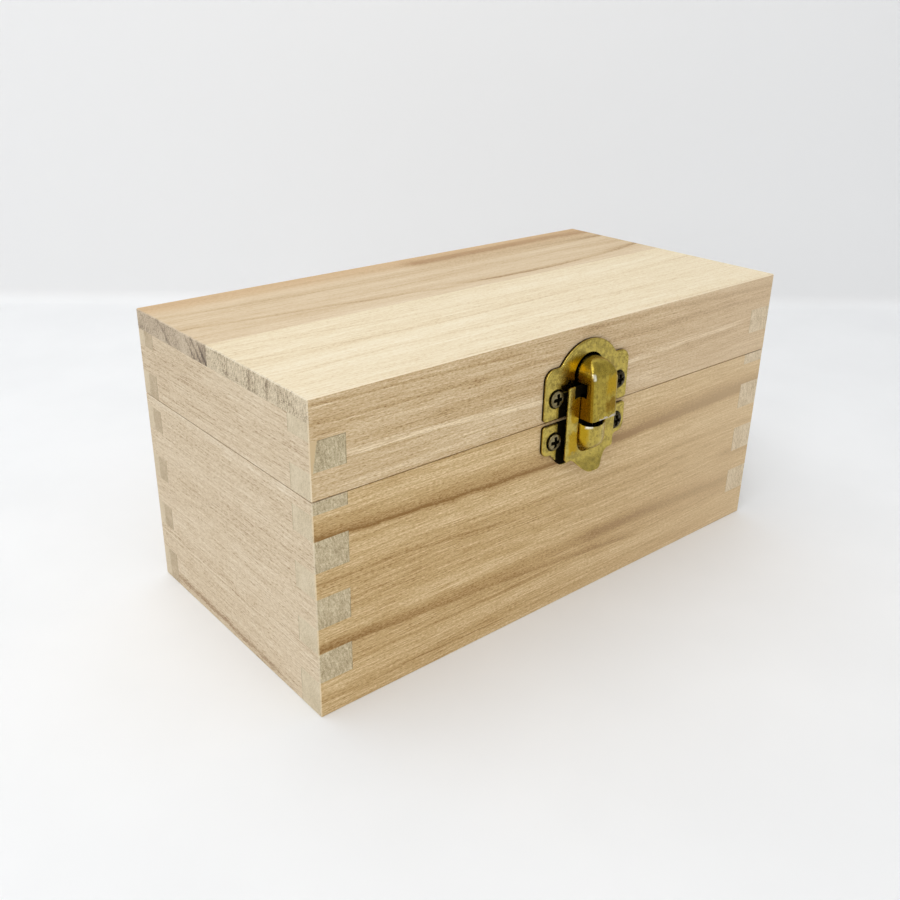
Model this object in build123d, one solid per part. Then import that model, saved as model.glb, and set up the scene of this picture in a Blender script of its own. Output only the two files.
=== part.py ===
from build123d import *
import os

# A small wooden keepsake box. Two finger-jointed frames, one for the box and one for the lid,
# are hinged at the back and held shut at the front by a pressed brass catch.
# Millimetres. +X runs along the front to the right, +Y from the front to the back and +Z up.
# The origin is the centre of the face that the box stands on.

# Outside of the closed box
box_length = 181.0
box_depth = 90.0
total_height = 88.0
lid_height = 25.6
lid_gap = 0.3

# Boards
long_wall = 9.0
end_wall = 10.1
top_thickness = 5.8
bottom_thickness = 5.0
top_joint = 47.8
end_joint = 16.8
edge_break = 0.25

# Finger joints, as heights. Long fingers belong to the front and back panels.
box_foot_finger = 10.7
box_end_finger = 8.7
box_long_finger = 7.4
box_rim_finger = 3.4
least_finger = 4.0
lid_foot_finger = 7.2
lid_end_finger = 7.9

# Catch plates, pressed as shallow trays with the rim turned back to the wood
catch_offset = 1.4
catch_width = 34.0
sheet = 0.5
plate_proud = 1.1
plate_edge_break = 0.3
upper_plate_setback = 0.4
upper_shoulder = 15.1
upper_arch_rise = 6.0
upper_arch_inset = 5.8
shoulder_round = 3.4
plate_corner_round = 1.0
notch_round = 1.2
lower_plate_setback = 0.7
lower_shoulder = 9.3
lower_lobe_drop = 4.3
lower_lobe_inset = 3.4
lower_lobe_slant = 4.4
lower_lobe_round = 2.4

# Catch hood, a cap let through the upper plate and held by a flange behind it
hood_width = 10.4
hood_top = 16.5
hood_overhang = 0.3
hood_proud_top = 7.1
hood_proud_foot = 8.0
hood_dome_round = 5.4
hood_brow_rise = 0.1
hood_edge_break = 0.45
hood_slit = 0.12
flange_reach = 1.5
flange_gap = 0.05

# Catch flap, a framed plate whose top bar turns in notches of the hood
flap_pivot_rise = 8.3
flap_pivot_proud = 3.0
flap_sheet = 0.8
flap_bar = 2.8
flap_width = 20.0
flap_side_gap = 0.15
flap_end_gap = 0.35
flap_shoulder_drop = 20.9
flap_tab_drop = 4.5
flap_tab_root = 14.4
flap_tab_foot = 5.2
flap_tab_round = 4.0
flap_corner_round = 1.0
flap_window_round = 3.4
flap_flare_drop = 19.7
flap_flare_radius = 7.7
notch_half_height = 1.95
notch_proud = 5.3

# Catch nose, drawn out of the lower plate and open at the top
nose_width = 10.2
nose_drop = 9.65
nose_proud = 6.3
nose_side_proud = 4.2
nose_lip_drop = 2.1
nose_foot_round = 3.0

# Catch screws
catch_screw_spacing = 25.6
upper_screw_rise = 6.7
lower_screw_drop = 5.1
catch_screw_head_radius = 2.4
catch_screw_head_height = 1.0
catch_screw_shank_radius = 1.1
catch_screw_length = 7.4
plate_hole_gap = 0.1
pilot_gap = 0.05

# Hinges, one pair of leaves rolled round a pin at each end of the back
hinge_inset = 35.5
hinge_length = 25.0
hinge_leaf_width = 11.0
hinge_leaf = 0.8
hinge_pin_radius = 0.8
hinge_bore_gap = 0.05
hinge_wood_gap = 0.1
hinge_knuckles = 3
hinge_knuckle_gap = 0.2
hinge_turn_gap = 0.15
hinge_screw_spacing = 15.0
hinge_screw_height = 6.4
hinge_screw_head_radius = 1.9
hinge_screw_head_height = 0.45
hinge_screw_shank_radius = 0.9
hinge_screw_length = 7.0

# Worked out from the values above
half_length = box_length / 2
hinge_spacing = box_length - 2 * hinge_inset
half_depth = box_depth / 2
lid_rim = total_height - lid_height
box_rim = lid_rim - lid_gap
lid_top_seat = total_height - top_thickness
upper_foot = lid_rim + upper_plate_setback
lower_head = box_rim - lower_plate_setback
pivot_height = lid_rim + flap_pivot_rise
upper_screw_height = lid_rim + upper_screw_rise
lower_screw_height = lower_head - lower_screw_drop
nose_foot = lower_head - nose_drop
knuckle_radius = hinge_pin_radius + hinge_leaf
hinge_axis_y = half_depth + knuckle_radius + hinge_wood_gap
hinge_axis_z = box_rim + lid_gap / 2
front_face = Plane(origin=(catch_offset, -half_depth, 0), x_dir=(1, 0, 0), z_dir=(0, -1, 0))
left_of_catch = (catch_offset - catch_width / 2, -half_depth, 0)
side_view = Plane(origin=left_of_catch, x_dir=(0, 0, 1), z_dir=(1, 0, 0))


def block(x_span, y_span, z_span):
    """A box between two values on each axis."""
    spans = (x_span, y_span, z_span)
    middle = [(low + high) / 2 for low, high in spans]
    size = [high - low for low, high in spans]
    return Pos(*middle) * Box(*size)


def rounded_block(z_span, round_top):
    """The outside of the box or the lid, with its corner posts and its outer rim broken."""
    body = block((-half_length, half_length), (-half_depth, half_depth), z_span)
    posts = body.edges().filter_by(Axis.Z)
    rim = body.faces().sort_by(Axis.Z)[-1 if round_top else 0].edges()
    return chamfer(posts + rim, edge_break)


def box_finger_spans():
    """Heights between which the box's end panels run right through its corners."""
    spans = []
    z = box_foot_finger
    while z + box_end_finger + least_finger <= box_rim - box_rim_finger:
        spans.append((z, z + box_end_finger))
        z += box_end_finger + box_long_finger
    spans.append((box_rim - box_rim_finger, box_rim))
    return spans


def lid_finger_spans():
    """Heights between which the lid's end panels run right through its corners."""
    foot = lid_rim + lid_foot_finger
    return [(foot, foot + lid_end_finger)]


def long_panel(side, z_span, finger_spans):
    """A front (side -1) or back (side 1) panel, notched at both ends for the end panels."""
    outer = side * half_depth
    inner = side * (half_depth - long_wall)
    y_span = (min(outer, inner), max(outer, inner))
    panel = block((-half_length, half_length), y_span, z_span)
    for span in finger_spans:
        panel -= block((-half_length, end_wall - half_length), y_span, span)
        panel -= block((half_length - end_wall, half_length), y_span, span)
    return panel


def end_panel(side, z_span, finger_spans):
    """A left (side -1) or right (side 1) panel with the fingers that fill those notches."""
    outer = side * half_length
    inner = side * (half_length - end_wall)
    x_span = (min(outer, inner), max(outer, inner))
    panel = block(x_span, (long_wall - half_depth, half_depth - long_wall), z_span)
    for span in finger_spans:
        panel += block(x_span, (-half_depth, half_depth), span)
    return panel


def front_hole(x, z, radius, depth):
    """A round hole from the front face into the wood."""
    return Pos(x, depth / 2 - half_depth, z) * Rot(90, 0, 0) * Cylinder(radius, depth)


def back_hole(x, z, radius, depth):
    """A round hole from the back face into the wood."""
    return Pos(x, half_depth - depth / 2, z) * Rot(90, 0, 0) * Cylinder(radius, depth)


def catch_screw_places(height):
    """Where the two screws of a catch plate stand, as X and Z."""
    return [(catch_offset + side * catch_screw_spacing / 2, height) for side in (-1, 1)]


def hinge_screw_places(side):
    """Where the four screws of the box (side -1) or lid (side 1) leaves stand, as X and Z."""
    height = hinge_axis_z + side * hinge_screw_height
    places = []
    for hinge_side in (-1, 1):
        for screw_side in (-1, 1):
            x = hinge_side * hinge_spacing / 2 + screw_side * hinge_screw_spacing / 2
            places.append((x, height))
    return places


def drill_catch(panel, height):
    """Pilot holes for a catch plate's screws."""
    depth = catch_screw_length - plate_proud
    for x, z in catch_screw_places(height):
        panel -= front_hole(x, z, catch_screw_shank_radius + pilot_gap, depth + pilot_gap)
    return panel


def drill_hinges(panel, side):
    """Pilot holes for the hinge screws."""
    depth = hinge_screw_length - hinge_leaf
    for x, z in hinge_screw_places(side):
        panel -= back_hole(x, z, hinge_screw_shank_radius + pilot_gap, depth + pilot_gap)
    return panel


def box_boards():
    """The open frame of the box and its bottom, every board its own solid."""
    z_span = (0, box_rim)
    spans = box_finger_spans()
    outside = rounded_block(z_span, round_top=False)
    left = end_panel(-1, z_span, spans) & outside
    lower_strip = block((-half_length, half_length), (-half_depth, half_depth), (0, end_joint))
    bottom = block(
        (end_wall - half_length, half_length - end_wall),
        (long_wall - half_depth, half_depth - long_wall),
        (0, bottom_thickness),
    )
    return {
        "box_front_panel": drill_catch(long_panel(-1, z_span, spans) & outside, lower_screw_height),
        "box_back_panel": drill_hinges(long_panel(1, z_span, spans) & outside, -1),
        "box_left_panel_upper_strip": left - lower_strip,
        "box_left_panel_lower_strip": left & lower_strip,
        "box_right_panel": end_panel(1, z_span, spans) & outside,
        "box_bottom_panel": bottom,
    }


def lid_boards():
    """The frame of the lid and the two boards glued edge to edge on top of it."""
    z_span = (lid_rim, lid_top_seat)
    spans = lid_finger_spans()
    outside = rounded_block((lid_rim, total_height), round_top=True)
    joint = top_joint - half_depth
    top_span = (lid_top_seat, total_height)
    x_span = (-half_length, half_length)
    return {
        "lid_front_panel": drill_catch(long_panel(-1, z_span, spans) & outside, upper_screw_height),
        "lid_back_panel": drill_hinges(long_panel(1, z_span, spans) & outside, 1),
        "lid_left_panel": end_panel(-1, z_span, spans) & outside,
        "lid_right_panel": end_panel(1, z_span, spans) & outside,
        "lid_top_front_board": block(x_span, (-half_depth, joint), top_span) & outside,
        "lid_top_back_board": block(x_span, (joint, half_depth), top_span) & outside,
    }


def corners_at(outline, x, z):
    """The two mirrored corners of an outline at half width x and height z."""
    return [v for v in outline.vertices() if abs(abs(v.X) - x) < 0.01 and abs(v.Y - z) < 0.01]


def on_front(outline, low, high):
    """An outline in X and Z made solid from low to high in front of the wood."""
    return front_face * (Pos(0, 0, low) * extrude(outline, high - low))


def tray(outline):
    """A plate pressed from sheet: its face stands proud and its rim turns back to the wood."""
    plate = extrude(outline, plate_proud)
    plate = chamfer(plate.faces().sort_by(Axis.Z)[-1].edges(), plate_edge_break)
    hollow = offset(outline, -sheet)
    return front_face * (plate - extrude(hollow, plate_proud - sheet))


def upper_plate_outline():
    """Square shoulders with an arch between them."""
    half_chord = catch_width / 2 - upper_arch_inset
    radius = (half_chord**2 + upper_arch_rise**2) / (2 * upper_arch_rise)
    shoulder = upper_foot + upper_shoulder
    arch_centre = shoulder + upper_arch_rise - radius
    outline = Pos(0, (upper_foot + shoulder) / 2) * Rectangle(catch_width, upper_shoulder)
    above = Pos(0, shoulder) * Rectangle(catch_width, 2 * upper_arch_rise)
    outline += (Pos(0, arch_centre) * Circle(radius)) & above
    outline = fillet(corners_at(outline, catch_width / 2, shoulder), shoulder_round)
    outline = fillet(corners_at(outline, catch_width / 2, upper_foot), plate_corner_round)
    return fillet(corners_at(outline, half_chord, shoulder), notch_round)


def lower_plate_outline():
    """Square shoulders with a lobe hanging between them."""
    shoulder = lower_head - lower_shoulder
    foot = shoulder - lower_lobe_drop
    lobe_root = catch_width / 2 - lower_lobe_inset
    lobe_foot = lobe_root - lower_lobe_slant
    right = [
        (catch_width / 2, lower_head),
        (catch_width / 2, shoulder),
        (lobe_root, shoulder),
        (lobe_foot, foot),
    ]
    left = [(-x, z) for x, z in reversed(right)]
    outline = make_face(Polyline(*right, *left, close=True))
    outline = fillet(corners_at(outline, catch_width / 2, lower_head), plate_corner_round)
    outline = fillet(corners_at(outline, catch_width / 2, shoulder), lower_lobe_round)
    outline = fillet(corners_at(outline, lobe_root, shoulder), notch_round)
    return fillet(corners_at(outline, lobe_foot, foot), lower_lobe_round)


def plate_holes(height):
    """The clearance holes of a catch plate's screws."""
    radius = catch_screw_shank_radius + plate_hole_gap
    places = [(side * catch_screw_spacing / 2, height) for side in (-1, 1)]
    holes = [Pos(x, z) * Circle(radius) for x, z in places]
    return on_front(Sketch() + holes, -sheet, plate_proud + sheet)


def hood_outline(grow, foot):
    """Straight sides under a round head, grown outwards by a margin."""
    half = hood_width / 2
    head = upper_foot + hood_top - half
    straight = Pos(0, (foot + head) / 2) * Rectangle(hood_width + 2 * grow, head - foot)
    return straight + Pos(0, head) * Circle(half + grow)


def hood_side_view(inset):
    """The hood from its side, in height and stand-off: a leaning face under a rounded brow."""
    foot = lid_rim - hood_overhang
    head = upper_foot + hood_top + hood_brow_rise - inset
    points = [
        (foot - inset, flange_gap - inset),
        (foot - inset, hood_proud_foot - inset),
        (head, hood_proud_top - inset),
        (head, flange_gap - inset),
    ]
    profile = make_face(Polyline(*points, close=True))
    brow = [v for v in profile.vertices() if v.X > head - 0.01 and v.Y > hood_proud_top / 2]
    return fillet(brow, hood_dome_round - inset)


def as_side_solid(profile):
    """A side view in height and stand-off made solid right across the catch."""
    return side_view * extrude(profile, catch_width)


def catch_hood():
    """The cap that covers the flap's bar, with a notch in each side and a flange behind."""
    foot = lid_rim - hood_overhang
    reach = hood_proud_foot + sheet
    outer = on_front(hood_outline(0, foot), flange_gap, reach) & as_side_solid(hood_side_view(0))
    edges = outer.edges().filter_by(lambda e: e.center().Y < -half_depth - hood_proud_top / 2)
    uprights = edges.filter_by(lambda e: abs(e.center().X - catch_offset) > hood_width / 2 - 0.1)
    uprights = uprights.filter_by(lambda e: e.geom_type == GeomType.LINE)
    outer = chamfer(uprights, hood_edge_break)
    inner = on_front(hood_outline(-sheet, foot - sheet), -sheet, reach)
    inner = inner & as_side_solid(hood_side_view(sheet))
    rim_foot = upper_foot + sheet + flange_gap
    flange = on_front(hood_outline(flange_reach, rim_foot), flange_gap, flange_gap + sheet)
    flange -= on_front(hood_outline(-sheet, rim_foot - sheet), 0, plate_proud)
    notch = Pos(0, pivot_height) * Rectangle(catch_width, 2 * notch_half_height)
    notch = on_front(notch, plate_proud - sheet, notch_proud)
    return (outer - inner - notch) + flange


def catch_upper_plate():
    """The arched plate on the lid, slotted from its lower edge for the hood."""
    slot = on_front(hood_outline(hood_slit, upper_foot - sheet), -sheet, plate_proud + sheet)
    return tray(upper_plate_outline()) - slot - plate_holes(upper_screw_height)


def nose_outline(grow):
    """The nose from the front: straight sides over a round foot."""
    half = nose_width / 2
    foot_centre = nose_foot + half
    height = lower_head - foot_centre
    straight = Pos(0, foot_centre + height / 2) * Rectangle(nose_width + 2 * grow, height)
    return straight + Pos(0, foot_centre) * Circle(half + grow)


def nose_top_view(inset):
    """The nose from above: a shallow arc in front of the plate, in X and stand-off."""
    half = nose_width / 2
    bow = nose_proud - nose_side_proud
    radius = (half**2 + bow**2) / (2 * bow)
    disc = Pos(0, nose_proud - radius) * Circle(radius - inset)
    keep = Pos(0, nose_proud / 2) * Rectangle(nose_width, nose_proud + 2 * sheet)
    return disc & keep


def nose_side_view(inset):
    """The nose from its side: a sloping mouth, an upright face and a rounded foot."""
    lip = lower_head - nose_lip_drop
    foot = nose_foot + inset
    front = nose_proud - inset
    mouth = [(lower_head + inset, plate_proud - sheet), (lip + inset, nose_proud)]
    points = [(foot, -inset), (foot, front), (mouth[1][0], front), mouth[0], (mouth[0][0], -inset)]
    profile = make_face(Polyline(*points, close=True))
    heel = [v for v in profile.vertices() if v.X < foot + 0.01 and v.Y > front / 2]
    return fillet(heel, nose_foot_round - inset)


def nose_solid(inset):
    """The nose as a solid, or the space inside its sheet when an inset is given."""
    above = Plane(
        origin=(catch_offset, -half_depth, lower_head + 2 * sheet), x_dir=(1, 0, 0), z_dir=(0, 0, -1)
    )
    plan = above * extrude(nose_top_view(inset), nose_drop + 4 * sheet)
    front = on_front(nose_outline(-inset), -inset, nose_proud)
    return plan & front & as_side_solid(nose_side_view(inset))


def catch_lower_plate():
    """The plate on the box with the open-topped nose drawn out of it."""
    plate = tray(lower_plate_outline()) - plate_holes(lower_screw_height)
    behind_plate = on_front(nose_outline(sheet), -sheet, plate_proud - sheet)
    return plate + (nose_solid(0) - behind_plate) - nose_solid(sheet)


def flap_outline():
    """The flap from the front: a rectangle over a rounded finger tab."""
    head = pivot_height + flap_bar / 2
    shoulder = pivot_height - flap_shoulder_drop
    foot = shoulder - flap_tab_drop
    right = [
        (flap_width / 2, head),
        (flap_width / 2, shoulder),
        (flap_tab_root / 2, shoulder),
        (flap_tab_foot / 2, foot),
    ]
    left = [(-x, z) for x, z in reversed(right)]
    outline = make_face(Polyline(*right, *left, close=True))
    outline = fillet(corners_at(outline, flap_width / 2, head), flap_corner_round)
    outline = fillet(corners_at(outline, flap_width / 2, shoulder), flap_corner_round)
    outline = fillet(corners_at(outline, flap_tab_root / 2, shoulder), flap_tab_round)
    return fillet(corners_at(outline, flap_tab_foot / 2, foot), flap_tab_round)


def flap_window():
    """The opening that straddles the hood and closes under the nose."""
    head = pivot_height - flap_bar / 2
    foot = nose_foot - flap_end_gap
    half = max(hood_width, nose_width) / 2 + flap_side_gap
    window = Pos(0, (head + foot) / 2) * Rectangle(2 * half, head - foot)
    return fillet(corners_at(window, half, foot), flap_window_round)


def flap_side_view():
    """The flap from its side: flat sheet whose lower end curls outwards for a fingertip."""
    back = flap_pivot_proud - flap_sheet / 2
    front = flap_pivot_proud + flap_sheet / 2
    bend = pivot_height - flap_flare_drop
    head = pivot_height + flap_bar
    flat = Pos((bend + head) / 2, flap_pivot_proud) * Rectangle(head - bend, flap_sheet)
    curl = Circle(flap_flare_radius + front - back) - Circle(flap_flare_radius)
    curl = Pos(bend, front + flap_flare_radius) * curl
    reach = 2 * flap_flare_radius
    keep = Pos(bend - reach / 2, back + flap_flare_radius / 2) * Rectangle(reach, flap_flare_radius)
    return flat + (curl & keep)


def catch_flap():
    """The framed plate that turns on its own top bar and hooks under the nose."""
    face = flap_outline() - flap_window()
    return on_front(face, 0, 2 * nose_proud) & as_side_solid(flap_side_view())


def screw_solid(head_radius, head_height, shank_radius, length):
    """A screw along +Z from its seat at zero: flat head above, shank below."""
    half_section = Polyline(
        (0, head_height),
        (head_radius, head_height),
        (head_radius, 0),
        (shank_radius, 0),
        (shank_radius, -length),
        (0, -length),
        close=True,
    )
    return revolve(Plane.XZ * make_face(half_section), Axis.Z)


def catch_screws(height):
    """The two screws of a catch plate."""
    screw = screw_solid(
        catch_screw_head_radius,
        catch_screw_head_height,
        catch_screw_shank_radius,
        catch_screw_length,
    )
    seats = [Pos(x, -half_depth - plate_proud, z) for x, z in catch_screw_places(height)]
    return Compound([seat * Rot(90, 0, 0) * screw for seat in seats])


def hinge_screws(side):
    """The four screws of the box or lid leaves."""
    screw = screw_solid(
        hinge_screw_head_radius,
        hinge_screw_head_height,
        hinge_screw_shank_radius,
        hinge_screw_length,
    )
    seats = [Pos(x, half_depth + hinge_leaf, z) for x, z in hinge_screw_places(side)]
    return Compound([seat * Rot(-90, 0, 0) * screw for seat in seats])


def along_hinge(radius, x_span):
    """A cylinder on the hinge axis between two values of X."""
    middle = (x_span[0] + x_span[1]) / 2
    place = Pos(middle, hinge_axis_y, hinge_axis_z)
    return place * Rot(0, 90, 0) * Cylinder(radius, x_span[1] - x_span[0])


def knuckle_spans(centre, first):
    """The lengths of the hinge axis that one leaf's knuckles take, every second one."""
    pitch = hinge_length / hinge_knuckles
    starts = [centre - hinge_length / 2 + i * pitch for i in range(first, hinge_knuckles, 2)]
    return [(start + hinge_knuckle_gap / 2, start + pitch - hinge_knuckle_gap / 2) for start in starts]


def hinge_leaf_solid(centre, side):
    """One leaf, rolled into its knuckles: on the box for side -1, on the lid for side 1."""
    first = 0 if side < 0 else 1
    rim = hinge_axis_z + side * lid_gap / 2
    edge = rim + side * hinge_leaf_width
    leaf = block(
        (centre - hinge_length / 2, centre + hinge_length / 2),
        (half_depth, half_depth + hinge_leaf),
        (min(rim, edge), max(rim, edge)),
    )
    notch_depth = knuckle_radius + hinge_turn_gap
    notch = (hinge_axis_z - notch_depth, hinge_axis_z + notch_depth)
    for span in knuckle_spans(centre, 1 - first):
        clear = (span[0] - hinge_knuckle_gap, span[1] + hinge_knuckle_gap)
        leaf -= block(clear, (half_depth, half_depth + hinge_leaf), notch)
    for span in knuckle_spans(centre, first):
        leaf += along_hinge(knuckle_radius, span)
    whole = (centre - hinge_length, centre + hinge_length)
    leaf -= along_hinge(hinge_pin_radius + hinge_bore_gap, whole)
    for x, z in hinge_screw_places(side):
        hole = hinge_screw_shank_radius + plate_hole_gap
        leaf -= Pos(x, half_depth, z) * Rot(90, 0, 0) * Cylinder(hole, 4 * hinge_leaf)
    return leaf


def hinge_pin(centre):
    """The pin of one hinge, as long as the hinge itself."""
    return along_hinge(hinge_pin_radius, (centre - hinge_length / 2, centre + hinge_length / 2))


def hinges():
    """Both hinges and the screws of their leaves."""
    nodes = {}
    for name, side in (("left", -1), ("right", 1)):
        centre = side * hinge_spacing / 2
        nodes[f"hinge_{name}_box_leaf"] = hinge_leaf_solid(centre, -1)
        nodes[f"hinge_{name}_lid_leaf"] = hinge_leaf_solid(centre, 1)
        nodes[f"hinge_{name}_pin"] = hinge_pin(centre)
    nodes["hinge_box_screws"] = hinge_screws(-1)
    nodes["hinge_lid_screws"] = hinge_screws(1)
    return nodes


def catch():
    """The catch on the front: two plates, hood, flap and screws."""
    return {
        "catch_upper_plate": catch_upper_plate(),
        "catch_hood": catch_hood(),
        "catch_flap": catch_flap(),
        "catch_lower_plate": catch_lower_plate(),
        "catch_upper_screws": catch_screws(upper_screw_height),
        "catch_lower_screws": catch_screws(lower_screw_height),
    }


os.makedirs("parts", exist_ok=True)
for node, shape in {**box_boards(), **lid_boards(), **catch(), **hinges()}.items():
    export_step(shape, f"parts/{node}.step")
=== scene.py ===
"""The looks of a hinged wooden keepsake box: raw timber boards, a pressed brass catch and hinges."""

import logging
import math
from collections.abc import Callable
from dataclasses import dataclass, field, replace
from enum import Enum

import bmesh
import bpy
import numpy as np
from mathutils import Matrix, Vector


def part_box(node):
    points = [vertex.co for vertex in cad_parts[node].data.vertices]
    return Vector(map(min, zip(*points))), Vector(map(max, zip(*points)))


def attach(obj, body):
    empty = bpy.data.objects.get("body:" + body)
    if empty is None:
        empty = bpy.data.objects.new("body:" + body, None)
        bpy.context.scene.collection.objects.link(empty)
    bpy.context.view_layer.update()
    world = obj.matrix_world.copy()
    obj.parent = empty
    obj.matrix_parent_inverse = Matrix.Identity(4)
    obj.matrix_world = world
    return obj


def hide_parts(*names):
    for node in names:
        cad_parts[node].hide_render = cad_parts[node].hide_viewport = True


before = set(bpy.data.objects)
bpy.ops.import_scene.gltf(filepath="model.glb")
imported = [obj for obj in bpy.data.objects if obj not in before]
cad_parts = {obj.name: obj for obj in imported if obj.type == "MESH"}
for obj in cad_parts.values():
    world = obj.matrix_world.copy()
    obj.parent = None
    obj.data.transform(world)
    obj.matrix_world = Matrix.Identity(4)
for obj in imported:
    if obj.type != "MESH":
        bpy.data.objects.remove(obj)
report = logging.getLogger("hinged_box")

MM = 0.001
Colour = tuple[float, float, float]
Points = np.ndarray


class Axis(Enum):
    """The directions of the frame, in the order of a point's coordinates."""

    X = 0
    Y = 1
    Z = 2


class Daylight(Enum):
    """How much of the studio's light a side of the box receives."""

    FRONT = 0.79
    END = 1.0
    TOP = 1.04


def seen(red: float, green: float, blue: float, light: Daylight = Daylight.END) -> Colour:
    """The surface colour that looks like a given screen colour on one side of the box.

    Args:
        red: Red as seen, from 0 to 255.
        green: Green as seen.
        blue: Blue as seen.
        light: The side it is seen on.

    Returns:
        The colour as a share of light.
    """
    share = np.array([red, green, blue]) / 255.0
    straight = np.where(share < 0.04045, share / 12.92, ((share + 0.055) / 1.055) ** 2.4)
    return tuple((straight / light.value).tolist())


class Signal:
    """A number, colour or vector inside a shader, whose arithmetic adds Math nodes."""

    def __init__(self, sheet: "ShaderSheet", socket: bpy.types.NodeSocket) -> None:
        """Wraps a socket.

        Args:
            sheet: The shader that the socket belongs to.
            socket: The output that carries the signal.
        """
        self.sheet = sheet
        self.socket = socket

    def _math(self, operation: str, *values: "Signal | float") -> "Signal":
        """Adds one Math node.

        Args:
            operation: The node's operation.
            values: Its inputs, in order.

        Returns:
            The node's result.
        """
        return self.sheet.add("ShaderNodeMath", {"operation": operation}, dict(enumerate(values)))

    def __add__(self, other: "Signal | float") -> "Signal":
        """Sum."""
        return self._math("ADD", self, other)

    def __radd__(self, other: "Signal | float") -> "Signal":
        """Sum, reflected."""
        return self._math("ADD", other, self)

    def __sub__(self, other: "Signal | float") -> "Signal":
        """Difference."""
        return self._math("SUBTRACT", self, other)

    def __rsub__(self, other: "Signal | float") -> "Signal":
        """Difference, reflected."""
        return self._math("SUBTRACT", other, self)

    def __mul__(self, other: "Signal | float") -> "Signal":
        """Product."""
        return self._math("MULTIPLY", self, other)

    def __rmul__(self, other: "Signal | float") -> "Signal":
        """Product, reflected."""
        return self._math("MULTIPLY", other, self)

    def __truediv__(self, other: "Signal | float") -> "Signal":
        """Quotient."""
        return self._math("DIVIDE", self, other)

    def __abs__(self) -> "Signal":
        """Size without sign."""
        return self._math("ABSOLUTE", self)

    def larger(self, other: "Signal | float") -> "Signal":
        """The larger of two signals."""
        return self._math("MAXIMUM", self, other)

    def root(self) -> "Signal":
        """Square root."""
        return self._math("SQRT", self)

    def rise(self, low: float, high: float) -> "Signal":
        """Runs smoothly from 0 at low to 1 at high.

        Args:
            low: Where the rise starts.
            high: Where it ends.

        Returns:
            The eased share from 0 to 1.
        """
        settings = {"interpolation_type": "SMOOTHSTEP"}
        return self.sheet.add("ShaderNodeMapRange", settings, {0: self, 1: low, 2: high})

    def fall(self, low: float, high: float) -> "Signal":
        """Runs smoothly from 1 at low to 0 at high."""
        return 1.0 - self.rise(low, high)


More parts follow.
